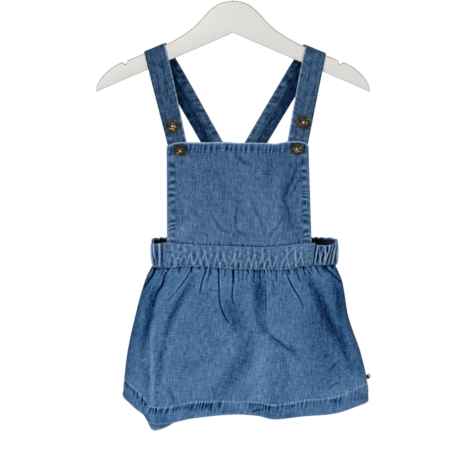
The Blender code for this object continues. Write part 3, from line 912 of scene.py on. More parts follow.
# path of (x, drop), trough width, depth, crease width, depth, lip
frontPleats = (
    (
        ((-85.5, -5), (-89, 4), (-92.5, 10), (-97.5, 17), (-103, 25), (-108, 32)),
        2.6, 1.6, 1, 2.4, -0.7,
    ),
    (((-71, -1), (-77, 8), (-80.5, 19), (-87.5, 30), (-92, 46)), 3, 0.8, 1.5, 2.2, -0.5),
    (((-62, 0), (-67, 9)), 1.8, 0.4, 0.8, 0.6, 0.4),
    (((-45.8, -2), (-50, 8), (-60, 22), (-74, 38)), 2, 0.3, 1, 2, -0.8),
    (((-31.5, 0), (-31, 5), (-35.5, 18), (-38, 32)), 2.4, 0.8, 0.9, 1.9, -0.8),
    (((-29, 0), (-23.5, 8)), 2, 0.4, 0.8, 0.5, 0.5),
    (((-16.3, 2), (-15.7, 22), (-14.8, 38), (-11, 50), (-4.6, 61)), 3.4, 1.1, 0.95, 2.5, 0.7),
    (((0.3, 0), (1.2, 11), (-0.6, 24), (-0.4, 36), (4.2, 42)), 2.4, 0.8, 0.9, 2.2, 0.5),
    (((5.2, 0), (7.5, 5)), 1.6, 0.4, 0.8, 0.7, 0.5),
    (((15.6, 0), (18.8, 6)), 1.6, 0.4, 0.8, 0.9, 0.4),
    (((26, 0), (28.5, 10)), 3, 0.8, 0.8, 0.6, 0.6),
    (((34.5, 0), (40.5, 9)), 1.6, 0.3, 0.8, 0.9, 0.5),
    (((45.3, 0), (49, 12)), 2.2, 0.5, 0.8, 1.2, -0.5),
    (((59.3, 1), (63.4, 12), (69.2, 24), (75, 34), (80, 47)), 2.6, 0.7, 0.9, 2, -0.8),
    (((66.5, 0), (70.7, 5)), 1.6, 0.4, 0.8, 0.9, 0.5),
    (((75, -1), (84, 4), (89, 12)), 2, 0.4, 0.8, 1, 0.6),
    (((104.5, -4), (111, 1.5), (118.5, 8), (126.6, 17)), 1.6, 0.3, 0.75, 1, 0.6),
    (((99.6, -3), (108, 5.5), (116, 13), (125, 22)), 2.2, 0.8, 1.1, 1.9, 0.5),
)

# The same, but free at both ends.
frontCreases = (
    # the long folds, deepest at mid length
    (((-71, 3), (-75.4, 10), (-89.8, 32), (-95.6, 56), (-101.3, 84), (-103, 104)), 6.8, 3.7),
    (((-43, 5), (-50, 22), (-60, 38), (-71, 58), (-78, 80)), 6.5, 2.4),
    (((-70, 60), (-79, 85), (-82, 108), (-83, 136)), 6, 1.5),
    (((-91.5, 56), (-91.5, 100), (-91, 152), (-90, 178)), 4, -1.8),
    (((-6, 18), (0, 42), (8, 62), (19, 86)), 16, 2),
    (((2, 34), (-3, 52), (4, 72)), 12, 1.2),
    (((24, 66), (16, 92), (2, 118), (-12, 138), (-28, 160)), 15.5, 2.8),
    (((28, -8), (29.4, 10), (29.8, 40), (31.2, 56), (38, 73)), 10.4, 4.2),
    (((36.2, 10), (37.2, 28), (37.4, 46), (37.2, 61)), 2.4, 0.3, 1, 0.26, 0.55),
    (((32, 56), (38, 71), (52, 81), (66, 90), (77, 104)), 6, 1.5),
    (((36, 66), (46, 76), (57, 84), (66, 93)), 2.4, 0.3, 1, 0.22, -0.3),
    (((40, 76), (52, 92), (59, 106), (66, 128)), 7, 1),
    (((107, 139), (113, 134), (119, 131)), 2.4, 0.4, 1.2, 0.2, 0.2),
    (((28, 70), (31, 98), (30, 150)), 12, -2.4),
    (((44.5, 6), (45.8, 32)), 3.6, 0.8),
    (
        ((74, -3), (79, 3), (88, 15), (99, 38), (108, 58), (119, 79), (131, 105), (141, 122)),
        8.4, 3.4, 1.3, 0.2, 0, 0.45,
    ),
    (((100, -5), (113, 12), (119, 32), (122, 56), (125, 73), (130, 96)), 6, 1.8),
    (((88, 26), (100, 62), (110, 100), (116, 140)), 24, 3),
    (((-51, 24), (-58, 34), (-66, 46)), 2.6, 0.4),
    # small free creases
    (((-28, 24), (-22, 25), (-15, 24)), 1.8, 0.3, 0.7, 0.2, 0),
    (((86, 17), (89, 28)), 3, 0.6),
    (((123, 106), (115, 112), (107, 121)), 2.6, 0.4, 1.4, 0.2, 0),
    (((-38, 98), (-28, 104), (-18, 103)), 8, 0.5),
    (((-108, 100), (-100, 118), (-96, 138)), 7, 0.8),
    (((-75, 132), (-68, 146), (-62, 160)), 4.4, 0.6),
    (((60, 110), (56, 128), (58, 146)), 9, 0.6),
    (((18, 160), (28, 157), (40, 154)), 2.6, 0.6, 1, 0.8, 0.5),
)

backPleats = (
    (((-84, 0), (-92, 16), (-104, 34)), 5, 1.8, 1.5, 2.6, 0.8),
    (((-66, 0), (-74, 24), (-80, 48), (-86, 78)), 6.5, 3.2, 1.4, 1.2, -0.5),
    (((-50, 0), (-53, 18), (-60, 40)), 4, 1.4, 1.2, 2.2, 0.8),
    (((-38, 0), (-39, 12), (-42, 24)), 2.6, 0.9, 1, 1.6, 0.5),
    (((-22, 0), (-24, 28), (-29, 58), (-33, 96)), 7.5, 3.4, 1.4, 1.4, 0.6),
    (((-8, 0), (-7, 10)), 2, 0.6, 1, 1.2, 0.4),
    (((6, 0), (7.5, 20), (6, 38)), 4, 1.5, 1.2, 2.4, -0.8),
    (((19, 0), (21, 11), (20, 22)), 2.4, 0.8, 1, 1.4, 0.5),
    (((34, 0), (33, 30), (30, 52), (31, 72)), 6, 2.8, 1.3, 1.6, 0.7),
    (((48, 0), (51, 14), (56, 27)), 3, 1.1, 1.1, 1.9, -0.6),
    (((62, 0), (66, 26), (74, 60), (80, 104)), 7.5, 3.6, 1.4, 1.3, 0.6),
    (((79, 0), (84, 12)), 2.2, 0.8, 1, 1.3, 0.4),
    (((92, 0), (100, 20), (114, 48)), 5.5, 2.4, 1.3, 1.8, 0.7),
    (((106, 0), (116, 12), (124, 28)), 3, 1.2, 1.1, 1.6, 0.5),
)

backCreases = (
    (((-42, 84), (-56, 110), (-70, 146)), 10, 2.8),
    (((-104, 60), (-100, 96), (-102, 140)), 7, -2.4),
    (((12, 74), (4, 104), (8, 138)), 9, 1.9),
    (((52, 92), (46, 120), (52, 150)), 8, 1.6),
    (((100, 70), (112, 104), (120, 138)), 8, 2.2),
    (((-24, 104), (-12, 116), (-6, 132)), 4.5, 0.7, 1.1, 0.3, 0.2),
    (((126, 96), (116, 108), (100, 114)), 4, 0.7, 1.1, 0.4, 0.2),
    (((30, 128), (44, 134), (62, 130)), 6, 0.6),
)


# small gathers between the main pleats: ranges in millimetres, and gaps in metres
gathers = {
    "seeds": {"front": 11, "back": 12},
    "margin": 0.004,
    "reach": (3, 18),
    "fan": 0.6 / 104,
    "lean": 0.2,
    "depth": (0.3, 1.1),
    "width": (2.2, 3.6),
    "core": 0.85,
    "gap": (0.0042, 0.009),
}


def addGathers(push, side, x, drop, seamX, seamRun):
    # they fan out with the skirt
    rng = random.Random(gathers["seeds"][side])
    middle = (seamX[0] + seamX[-1]) / 2 * 1000
    place = gathers["margin"]
    while place < seamRun[-1] - gathers["margin"]:
        at = float(np.interp(place, seamRun, seamX)) * 1000
        reach = rng.uniform(*gathers["reach"])
        lean = (at - middle) * gathers["fan"] + rng.uniform(-gathers["lean"], gathers["lean"])
        path = ((at, -1), (at + lean * reach * 0.4, reach * 0.5), (at + lean * reach, reach))
        depth = rng.uniform(*gathers["depth"])
        lip = depth * 0.8 * rng.choice((-1, 1))
        width = rng.uniform(*gathers["width"])
        pleat(push, x, drop, path, width, depth * 1.8, gathers["core"], depth, lip)
        place += rng.uniform(*gathers["gap"])


def hemRipples(x, cloth, edge, below, fromSeam):
    # puckers under the hem's stitched line, calmer towards the right
    slanted = cloth + below * 0.22 + 0.0006 * rumple(cloth, below, 0.012, 22)
    ripple = puckers(slanted, skirt["hemPitch"], 21, 1.2, 1.2)
    comb = np.where(below > 0, bell(below, skirt["hemReach"]), np.exp(below / 0.0012))
    uneven = 0.75 + 0.35 * rumple(cloth, edge, 0.06, 9)
    uneven = uneven * (1 - 0.55 * ease(x, 0.04, 0.06))
    push = skirt["hemPucker"] * (ripple - 0.05) * comb * uneven * ease(fromSeam, -0.01, 0.03)
    push += skirt["hemStep"] * ease(below, 0, 0.0012)
    push += rumpled(cloth, edge, [skirt["hemRumple"]]) * ease(below, 0, 0.004)
    return push, ripple, uneven


def skirtFadingAndShade(side, push, x, outY, cloth, drop, edge, below, fromSeam, ripple, uneven):
    wornAndShaded = skirtWearAndShade
    under = np.clip(drop, 0, None)
    # pale worn crests, and painted shade in the hollows of folds and creases
    fine, broad = raised(push, *wornAndShaded["fine"]), raised(push, *wornAndShaded["broad"])
    paleShare = 0.5 + 0.22 * ease(drop, 0.045, -0.02)
    wearAndShade = np.where(fine > 0, paleShare, 1.0) * fine + wornAndShaded["base"]
    wearAndShade += np.where(broad > 0, *wornAndShaded["broadShares"]) * broad
    # the hem's pale stitched line, with painted shade under it and in the slits between its puckers
    wearAndShade += line(below, *wornAndShaded["hemLine"])
    hemShadeStrength = uneven * (0.45 + 0.55 * ease(fromSeam, 0.015, 0.05))
    wearAndShade += line(below, *wornAndShaded["hemShade"]) * ease(below, 0, 0.0014) * hemShadeStrength
    wearAndShade += line(below, *wornAndShaded["slitShade"]) * np.clip(0.02 - ripple, 0, 1) * uneven
    wearAndShade += wornAndShaded["turnedHem"] * ease(below, 0.006, 0.004)
    wearAndShade += wornAndShaded["lowerCloth"] * ease(drop, 0.05, 0.1)
    wearAndShade += line(edge, *wornAndShaded["edgeLine"]) + line(fromSeam, *wornAndShaded["sideLine"])
    # painted shade in the gathers under the seam, with pale worn teeth along it
    for strength, reach in wornAndShaded["underSeamShade"]:
        wearAndShade += strength * np.exp(-under / reach)
    teeth = puckers(cloth + 0.4 * under, 0.0029, 25, 1.1) - 0.22
    wearAndShade += wornAndShaded["teeth"][side] * teeth * line(under, *wornAndShaded["teethLine"])
    if side == "front":
        # on the front: painted shade towards the side seams, in a hollow on the right and as a dark
        # line along the fold beside the left seam, and painted light on the right corner by the hem
        wearAndShade += wornAndShaded["sides"] * ease(fromSeam, 0.038, -0.032) * ease(drop, 0.145, -0.05)
        strength, (hollowX, wide), (hollowDrop, tall) = wornAndShaded["rightHollowShade"]
        wearAndShade += line(x, strength, hollowX, wide) * bell(drop - hollowDrop, tall)
        sideFold = x - np.interp(drop, sideFoldDrops, sideFoldPlaces)
        sideFold = sideFold / np.clip(-outY, 0.3, 1)
        facing = ease(-outY, 0.1, 0.35)
        wearAndShade += line(sideFold, *wornAndShaded["sideFold"]) * ease(drop, 0.03, -0.01) * facing
        corner = ease(fromSeam, 0.034, -0.028) * ease(below, -0.012, 0.012)
        wearAndShade += wornAndShaded["rightCornerLight"] * corner * (x > 0) * facing
    # inside, the turned hem shows the outer face of the cloth; near the hem's edge the inside is
    # painted lighter, as painted light against the shade inside the skirt
    inside = wornAndShaded["insideShare"] * wearAndShade + line(edge, *wornAndShaded["insideEdge"])
    inside += 0.2 * ease(edge, 0.03, -0.02) + 0.32 * ease(edge, 0.014, -0.008)
    return wearAndShade, inside


def makeSkirt(side, finishes, thread):
    hemLength = atlas[side][-1][2][-1]
    columns = int(hemLength / skirt["columnStep"])
    share = np.linspace(0, 1, columns + 1)
    x0, y0, _ = ringAt(side, share, np.zeros_like(share))
    seam = waistLine(x0, y0)[1] - seamGap
    length = seam + skirt["tuck"] - tableAt(hemRows[side], share)[:, 1]
    down = evenSpots(skirt["usualLength"], skirt["rowStep"], skirt["roundRows"])
    drop = down[:, None] * length - skirt["tuck"]
    under = np.clip(drop, 0, None)
    across = np.broadcast_to(share, drop.shape)
    x, y, run = ringAt(side, across, under)
    outX, outY = ringOut(side, across, under)
    push = np.zeros(drop.shape)

    pleats, creases = (frontPleats, frontCreases) if side == "front" else (backPleats, backCreases)
    for row in pleats:
        pleat(push, x, drop, *row)
    # folds are narrower where the cloth turns to the side
    push *= 0.35 + 0.65 * ease(np.abs(outY), 0.05, 0.4)
    for row in creases:
        freeCrease(push, x, drop, *row)
    addGathers(push, side, x, drop, x0, run[0])

    # the cloth swells just under its seam, and is never quite flat
    cloth = across * hemLength
    puff, rise, fall = skirt["puff"]
    push += puff * (1 - np.exp(-under / rise)) * np.exp(-under / fall)
    height, *how = skirt["seamPuckers"]
    push += height * (puckers(cloth, *how) - 0.1) * np.exp(-under / skirt["seamPuckerReach"])
    push += rumpled(cloth, drop, skirt["broadRumples"]) * ease(under, 0, 0.03)
    push += rumpled(cloth, drop, [skirt["smallRumple"]]) * ease(under, 0, 0.01)
    push += rumpled(cloth, drop, [skirt["grainRumple"]])

    fromSeam = np.minimum(run, run[:, -1:] - run)
    edge = (1 - down)[:, None] * length
    turned = tableAt(hemDepths[side], across)[..., 1]
    below = turned - edge
    hemPush, ripple, uneven = hemRipples(x, cloth, edge, below, fromSeam)
    push += hemPush

    # the seam holds the folds shallow, and its allowance is in the waistband
    depth, growth = skirt["heldDepth"]
    push = np.maximum(push, -(depth + growth * under))
    held = ease(drop, -0.0002, -0.0012)
    push += (skirt["seamAllowance"] + 0.35 * np.clip(push, -0.001, 0.001) - push) * held

    # the sides meet at their seams
    push *= 0.15 + 0.85 * ease(fromSeam, 0, 0.01)
    push += line(fromSeam, *skirt["sideGroove"])
    wearAndShade, insideWearAndShade = skirtFadingAndShade(
        side, push, x, outY, cloth, drop, edge, below, fromSeam, ripple, uneven
    )

    middle, level = pushedOut(x, y, seam - drop, outX, outY, push)
    out = gridNormals(np.stack([x, y, seam - drop], -1))
    out *= np.sign((out * level).sum(-1, keepdims=True))
    thick = roundEdge(edge, skirt["edgeRadius"])
    inner = skirt["inner"] + (skirt["hemInner"] - skirt["inner"]) * ease(below, 0, 0.001)
    # the inner face stays behind each sharp crease
    inner = inner + np.clip(push - lowered(push, 3) - 0.0002, 0, 0.004)
    uv = np.stack([cloth + skirt["uvStart"][side], -drop], -1)
    name = f"skirt{side.capitalize()}"
    walls = (skirt["outer"] * thick, inner * thick)
    piece, grid = clothShell(name, middle, out, *walls, uv, wearAndShade, finishes, insideWearAndShade=insideWearAndShade)
    lines = np.arange(len(down))
    rows = [np.interp(1 - turned[0, c] / length[c], down, lines) for c in range(columns + 1)]
    points, normals = lineOn(grid, out, rows, np.arange(columns + 1))
    sewn = stitchPiece(f"{name}HemStitches", stitchesAlong(points, normals), thread)
    return piece, sewn


band = {
    "columnStep": 0.00072,
    "backColumnStep": 0.00062,
    "rowStep": 0.00078,
    "roundRows": (0.0001, 0.00035, 0.0008),
    "roundEnds": (0.0001, 0.0003),
    "outer": 0.0011,
    "inner": 0.0011,
    "edgeRadius": 0.0011,
    "height": 0.0262,
    "backHeight": 0.0285,
    "leftEnd": -0.0787,
    "rightEnd": (0.0931, 0.0899),
    "backRise": 0.003,
    "tuckPitch": 0.0066,
    "stitches": {"pitch": 0.0027, "length": 0.0021},
    "stitchInset": 0.0013,
    "boxLines": (0.0085, 0.0018),
    "seamPuckers": (0.0047, 36),
    "uvStart": (1.3, 1.7),
}


def bandEnds(v):
    # shares across the front at which the flat front band begins and ends, at this drop
    seam = atlas["front"][0][0]
    upper, lower = band["rightEnd"]
    right = upper + (lower - upper) * np.clip(v / band["height"], 0, 1)
    left = float(np.interp(band["leftEnd"], seam, atlasShares))
    return left, np.interp(right, seam, atlasShares)


# The elastic beside the flat front: path of (distance from its end, drop), width and height in
# millimetres. A tuck has a height under zero.
leftTucks = (
    (((1.6, 0), (1, 8), (1.2, 16), (2.2, 27)), 1.1, -1.1),
    (((4.2, 0), (3.8, 8), (3.6, 18), (3.9, 27)), 0.9, 1.7),
    (((8.2, 1), (7.8, 12), (7.2, 26)), 2.2, -1.5),
    (((7.4, 2), (7.8, 11)), 0.7, 0.6),
    (((11.4, 0), (10.8, 9), (10, 17)), 1, 1.5),
    (((13.8, 1), (12.8, 10), (11.2, 20), (10.2, 27)), 0.8, -2.2),
    (((15.8, 0), (14.8, 10), (13.2, 20), (12, 27)), 1.1, 2),
    (((18.6, 0), (17.6, 12), (16, 27)), 1.1, -2),
)
rightTucks = (
    (((2.3, 0), (2.1, 8), (1.6, 14), (1.3, 20), (1.2, 27)), 0.9, 1.8),
    (((4.4, 7), (4.7, 14), (4.3, 24)), 1.2, -1.3),
    (((4.6, 9), (6, 14), (7.4, 19), (8, 27)), 0.8, 1.1),
    (((6.6, 1), (6.8, 8)), 1.2, -1.2),
    (((8.6, 9), (10.6, 13), (9.6, 18), (9.8, 24)), 0.9, -1.8),
    (((10.6, 1), (11.8, 9), (12.6, 14), (11.4, 20)), 0.8, 1.3),
    (((13, 1), (14.3, 6), (13.9, 11)), 0.9, -1.7),
    (((16.4, 0), (16, 8), (14.8, 13), (13.4, 20), (12.6, 27)), 1, 1.6),
    (((18.6, 1), (17.8, 10), (16.8, 18), (15.8, 27)), 1.3, -1.2),
    (((20.2, 3), (19.2, 14), (18.2, 24)), 0.8, 0.8),
    (((22.2, 0), (21.2, 7), (20.4, 13), (20, 19), (19.8, 27)), 0.8, -2.3),
    (((24.2, 0), (23.2, 7), (22.4, 13), (22, 19), (21.8, 27)), 0.8, 1.5),
    (((27.2, 0), (26, 7), (25.2, 13), (25.6, 19), (26.2, 27)), 1.1, -2.8),
    (((30.4, 0), (29.2, 8), (28.6, 13), (29.2, 20), (30.2, 27)), 1.4, 2.2),
)


def ridges(push, u, v, path, width, height):
    # a narrow ridge along a path, or a tuck where its height is under zero
    near, sideways, along = nearPath(u, v, path, width * 3)
    strength = np.sin(math.pi * np.clip(0.08 + 0.84 * along, 0, 1)) ** 0.6
    push[near] += height * strength * bell(sideways, width)


# Puckers of the flat band: an upright one under the top seam forks into two slanting ones.
forks = {
    "margins": (0.01, 0.006),
    "gap": (0.0058, 0.0104),
    "stem": (0.008, 0.0135),
    "lean": 0.16,
    "stemWidth": (0.0012, 0.0018),
    "stemHeight": (0.0002, 0.0006),
    "forkShare": (0.82, 1.0),
    "legs": 0.92,
    "spread": (0.0018, 0.0056),
    "kneeShift": (-0.0006, 0.001),
    "kneeDrop": (0.0165, 0.0195),
    "footDrop": (0.0235, 0.0255),
    "legWidth": (0.0009, 0.0013),
    "legHeight": (0.0006, 0.0011),
    "pits": 0.7,
    "pitShift": 0.002,
    "pitTop": (17, 20),
    "pitSize": (1.5, 1.0),
}


# hooked puckers inside the box stitching
leftHooks = (
    (((13.5, 25.5), (12.5, 20), (15.5, 16), (19.5, 17), (21.5, 21.5)), 0.8, 0.8),
    (((16.5, 25), (16.5, 21.5), (19, 20.5)), 0.7, 0.6),
)


rightHooks = ((((15, 25), (12.5, 20.5), (8.5, 21.5)), 0.8, 0.7),)


def addRidges(push, distance, v, rows):
    for path, width, height in rows:
        path = [(a / 1000, b / 1000) for a, b in path]
        ridges(push, distance, v, path, width / 1000, height / 1000)


def addForks(push, s, v, whole):
    rng = random.Random(5)

    def pick(name):
        return rng.uniform(*forks[name])

    place, last = forks["margins"][0], whole - forks["margins"][1]
    while place < last:
        reach = pick("stem")
        foot = (place + rng.uniform(-forks["lean"], forks["lean"]) * reach, reach)
        path = ((place, 0.001), foot)
        ridges(push, s, v, path, pick("stemWidth"), pick("stemHeight"))
        fork = (foot[0], reach * pick("forkShare"))
        for side in (-1, 1):
            if rng.random() < forks["legs"]:
                foot = fork[0] + side * pick("spread")
                knee = ((fork[0] + foot) / 2 + side * pick("kneeShift"), pick("kneeDrop"))
                path = (fork, knee, (foot, pick("footDrop")))
                ridges(push, s, v, path, pick("legWidth"), pick("legHeight"))
        if rng.random() < forks["pits"]:
            spot = (place + rng.uniform(-forks["pitShift"], forks["pitShift"])) * 1000
            pit = ((spot, pick("pitTop")), (spot + rng.uniform(-1, 1), 25.5))
            pleat(push, s, v, pit, *forks["pitSize"], rooted=False)
        place += pick("gap")


# Wear and painted shade as the skirt's; dots are the pitch and seed of the puckers along a line.
bandWearAndShade = {
    "fine": (2.6, 0.00034, 0.66),
    "base": 0.1,
    "topLine": (0.45, 0, 0.0008),
    "topDots": (0.0022, 34),
    "seamLine": (0.85, 0.0003, 0.0009),
    "seamDots": (0.0035, 35),
    "specks": (1.3, 0.0022, 0.002),
    "speckDots": (0.0031, 38, 1.0),
    "stitchLine": (-0.3, 0.0017, 0.0006),
    "endLine": (0.3, 0, 0.0007),
    "backFine": (2.4, 0.0005, 0.6, 0.25),
    "backBroad": (9, 0.0012, 0.25, 0.15),
    "backBase": 0.02,
    "backTopLine": (0.75, 0, 0.001),
    "backSeamLine": (0.3, 0, 0.0008),
    "backEndShade": (0.5, 0.8, 0.0009),
    "backRightShade": (-0.1, 0.035),
    "tuckShade": -1.1,
}


def makeFrontBand(finishes, thread):
    height = band["height"]
    length = atlas["front"][0][2][-1]
    down = evenSpots(height, band["rowStep"], band["roundRows"])
    left, right = bandEnds(down * height)
    whole = float((right.mean() - left) * length)
    over = evenSpots(whole, band["columnStep"], band["roundRows"])
    share = left + (right[:, None] - left) * over
    x, y, _ = ringAt("front", share, np.zeros_like(share))
    outX, outY = ringOut("front", share, np.zeros_like(share))
    top, bottom = waistLine(x, y)
    s = np.broadcast_to(over * whole, share.shape)
    v = np.broadcast_to(down[:, None] * height, share.shape)
    fromFoot = height - v
    push = np.zeros(s.shape)
    addForks(push, s, v, whole)
    addRidges(push, s, v, leftHooks)
    addRidges(push, whole - s, v, rightHooks)
    push += 0.00045 * puckers(s, 0.0041, 31) * np.exp(-fromFoot / 0.0028)
    push += rumpled(s, v, ((0.00018, 0.009, 32), (0.0003, 0.04, 33), (0.00012, 0.004, 37, 1.5)))

    # box stitching at both ends
    ends = np.minimum(s, whole - s)
    for place in band["boxLines"]:
        push += line(ends, -0.00025, place, 0.0006)
    push *= 0.35 + 0.65 * ease(ends, 0.001, 0.004)
    wide = whole * 1000
    for path in (((1.0, 9.6), (8.8, 10.0), (12.6, 12.2)), ((wide - 10.5, 9.4), (wide - 1.2, 8.8))):
        pleat(push, s, v, path, 0.9, 0.8, rooted=False)

    wornAndShaded = bandWearAndShade
    radius, depth, strength = wornAndShaded["fine"]
    # pale worn crests, and painted shade in the hollows of the puckers
    wearAndShade = raised(push, radius, depth) * strength + wornAndShaded["base"]
    wearAndShade += line(v, *wornAndShaded["topLine"]) * (0.6 + 0.9 * puckers(s, *wornAndShaded["topDots"]))
    wearAndShade += line(fromFoot, *wornAndShaded["seamLine"]) * (0.4 + 1.2 * puckers(s, *wornAndShaded["seamDots"]))
    specks = puckers(s + 0.5 * fromFoot, *wornAndShaded["speckDots"]) - 0.18
    wearAndShade += line(fromFoot, *wornAndShaded["specks"]) * specks
    wearAndShade += line(fromFoot, *wornAndShaded["stitchLine"]) + line(ends, *wornAndShaded["endLine"])

    bottom = bottom + 0.0009 * puckers(s, *band["seamPuckers"]) * ease(ends, 0, 0.002)
    z = top + (bottom - top) * down[:, None]
    middle, out = pushedOut(x, y, z, outX, outY, push)
    thick = roundEdge(np.minimum(v, fromFoot), band["edgeRadius"]) * roundEdge(ends, 0.0009)
    uv = np.stack([s + band["uvStart"][0], -v], -1)
    walls = (band["outer"] * thick, band["inner"] * thick)
    piece, grid = clothShell("waistbandFront", middle, out, *walls, uv, wearAndShade, finishes)
    rowCount, columnCount = grid.shape[:2]
    columns = np.arange(columnCount)
    inset, (outerLine, innerLine) = band["stitchInset"], sorted(band["boxLines"])
    lines = []
    for offset in (inset, height - inset):
        row = float(np.interp(offset / height, down, np.arange(rowCount)))
        lines.append((row, columns))
    for offset in (outerLine, innerLine, whole - innerLine, whole - outerLine):
        column = float(np.interp(offset / whole, over, columns))
        lines.append((np.linspace(2, rowCount - 3, 60), column))
    stitches = []
    for rows, places in lines:
        stitches += stitchesAlong(*lineOn(grid, out, rows, places), **band["stitches"])
    return piece, stitchPiece("waistbandFrontStitches", stitches, thread)


def backRing(s, leftStretch, backLength):
    # place and outward direction along the elastic, round the back
    zero = np.zeros_like(s)
    frontLength = atlas["front"][0][2][-1]
    fields = [zero] * 4
    for side, share, chosen in (
        ("back", (s - leftStretch) / backLength, np.ones(s.shape, bool)),
        ("front", (leftStretch - s) / frontLength, s < leftStretch),
        ("front", 1 - (s - leftStretch - backLength) / frontLength, s > leftStretch + backLength),
    ):
        place = ringAt(side, share, zero)[:2]
        out = ringOut(side, np.clip(share, 0.0, 1.0), zero)
        fields = [np.where(chosen, new, old) for new, old in zip((*place, *out), fields)]
    x, y, outX, outY = fields
    # the outward direction turns smoothly past the side seams
    for _ in range(14):
        for field in (outX, outY):
            field[:, 1:-1] = (field[:, :-2] + field[:, 1:-1] * 2 + field[:, 2:]) / 4
    size = np.hypot(outX, outY)
    return x, y, outX / size, outY / size


def makeBackBand(finishes, thread):
    height = band["backHeight"]
    frontLength = atlas["front"][0][2][-1]
    backLength = atlas["back"][0][2][-1]
    down = evenSpots(height, band["rowStep"], band["roundRows"])
    v = down[:, None] * height
    left, right = bandEnds(v * band["height"] / height)
    leftStretch = left * frontLength - seamGap
    whole = leftStretch + backLength + (1 - right) * frontLength - seamGap
    over = evenSpots(float(whole.mean()), band["backColumnStep"], band["roundEnds"])
    s = over * whole
    far = whole - s
    ends = np.minimum(s, far)
    v = np.broadcast_to(v, s.shape)
    fromFoot = height - v
    x, y, outX, outY = backRing(s, leftStretch, backLength)
    top, bottom = waistLine(x, y)

    # even ruffles at the back, larger ones beside the flat band
    pitch = band["tuckPitch"]
    slant = 0.0011 * np.sin(s * math.tau / 0.057 + 1.0) * (v / height - 0.5)
    tucks = puckers(s + slant * 1.6, pitch, 41, 0.9)
    push = 0.003 * tucks + 0.0009 * puckers(s - slant, pitch * 0.47, 42, 1.2)
    push += 0.0004 * rumple(s, v, 0.012, 43)
    free = ease(s, 0.016, 0.005) * ease(far, 0.029, 0.005)
    push = push * free + 0.0007
    addRidges(push, s, v, leftTucks)
    addRidges(push, far, v, rightTucks)
    push *= 0.25 + 0.75 * ease(ends, 0, 0.002)
    push -= (0.0016 + 0.0012 * v / height) * bell(s - leftStretch, 0.008)
    push = np.where(v < 0.004, push * (1 + 0.3 * (1 - v / 0.004)), push)
    push *= 0.6 + 0.4 * ease(fromFoot, 0, 0.004)

    # its top edge ripples at the back, and dips beside the flat band
    sway = ease(ends, 0, 0.004)
    ruffle = 0.0013 * puckers(s, pitch * 1.7, 44, 1.0) * sway * ease(y, -0.02, 0.02)
    ruffle -= 0.0024 * ease(s, 0.002, 0.012) * ease(s - leftStretch, 0.004, -0.01)
    ruffle -= 0.0009 * ease(s, 0, 0.002) * ease(s, 0.012, -0.006)
    ruffle -= 0.0025 * ease(far, 0, 0.0015) * ease(far, 0.03, -0.01)
    ruffle -= line(far, 0.0008, 0.0115, 0.003)
    topLine = top + band["backRise"] * ease(y, -0.02, 0.04) + ruffle
    low = bottom + 0.0006 * puckers(s, 0.0047, 46) * sway
    z = topLine + (low - topLine) * down[:, None]

    wornAndShaded = bandWearAndShade
    wearAndShade = wornAndShaded["backBase"] + line(v, *wornAndShaded["backTopLine"]) + line(fromFoot, *wornAndShaded["backSeamLine"])
    # pale worn ridges, and painted shade in the hollows of the ruffles
    for radius, depth, strength, more in (wornAndShaded["backFine"], wornAndShaded["backBroad"]):
        wearAndShade += raised(push, radius, depth) * (strength + more * (1 - free))
    # painted shade at both ends, more at the right one, and over the right end's last part
    base, more, width = wornAndShaded["backEndShade"]
    wearAndShade -= (base + more * (far < s)) * bell(ends, width)
    shade, reach = wornAndShaded["backRightShade"]
    wearAndShade += shade * (far < reach)
    hollow = (softened(push, 2.4) - push) / 0.0005
    wearAndShade += wornAndShaded["tuckShade"] * ease(hollow, 0.7, 1.6) * (1 - free)
    # on the lining: painted shade, lighter on its ridges, at its top edge and towards its right end
    insideWearAndShade = 0.25 * np.tanh(-push / 0.001) + line(v, 0.2, 0, 0.0006)
    insideWearAndShade += 0.8 * ease(x, 0.1, 0.012) * (0.8 + 0.5 * tucks)

    middle, out = pushedOut(x, y, z, outX, outY, push)
    thick = roundEdge(np.minimum(v, fromFoot), band["edgeRadius"]) * roundEdge(ends, 0.0006)
    # the casing meets the skirt behind each tuck
    casing = band["inner"] + np.clip(push, 0, 0.004) * ease(v, height - 0.006, 0.003)
    uv = np.stack([s * 1.25 + band["uvStart"][1], -v], -1)
    walls = (band["outer"] * thick, casing * thick)
    piece, grid = clothShell(
        "waistbandBack", middle, out, *walls, uv, wearAndShade, finishes, insideWearAndShade=insideWearAndShade, bound=2
    )
    row = float(np.interp(1 - 0.0014 / height, down, np.arange(len(down))))
    points, normals = lineOn(grid, out, row, np.arange(grid.shape[1]))
    stitches = stitchesAlong(points, normals, **band["stitches"])
    return piece, stitchPiece("waistbandBackStitches", stitches, thread)


bib = {
    "step": 0.001,
    "flat": (0.1618, 0.115),
    "roundEdge": (0.00015, 0.0005, 0.001),
    "top": -0.2232,
    "topDepth": -0.0124,
    "left": (-0.0749, -0.0747),
    "right": (0.0852, 0.0889),
    "outer": 0.0006,
    "inner": 0.0006,
    "hemInner": 0.001,
    "edgeRadius": 0.0012,
    "topHem": 0.0098,
    "sideHem": 0.0086,
    "topPuckers": (0.0017, 0.0056, 54, 1.3, 0.9),
    "ropePitch": 0.0074,
    "rope": 0.0014,
    "ropes": ((55, -0.22), (56, -0.25)),
    "seamPuckers": (0.0011, 0.0041, 57, 1.0),
    "swell": (0.0008, 0.07, 51, 1.3),
    "rumples": ((0.00018, 0.022, 52, 1.4), (0.00008, 0.0085, 53)),
    "uvStart": 2.2,
}

# x and lift of the top edge, in millimetres; it humps over the straps
bibTopRows = (
    (-76, -4.6), (-73.6, -3.4), (-71.5, -2.2), (-67, -0.6), (-62, 0.5), (-57, 0.9), (-49, 0.6),
    (-30, 0.5), (-8, 0.9), (6, -0.2), (15, 0), (38, -0.3), (47, -1), (56, 0.4), (64, 1.6),
    (73, 1.7), (79, 0.9), (82.5, -0.3), (84.6, -2.4), (87, -4),
)

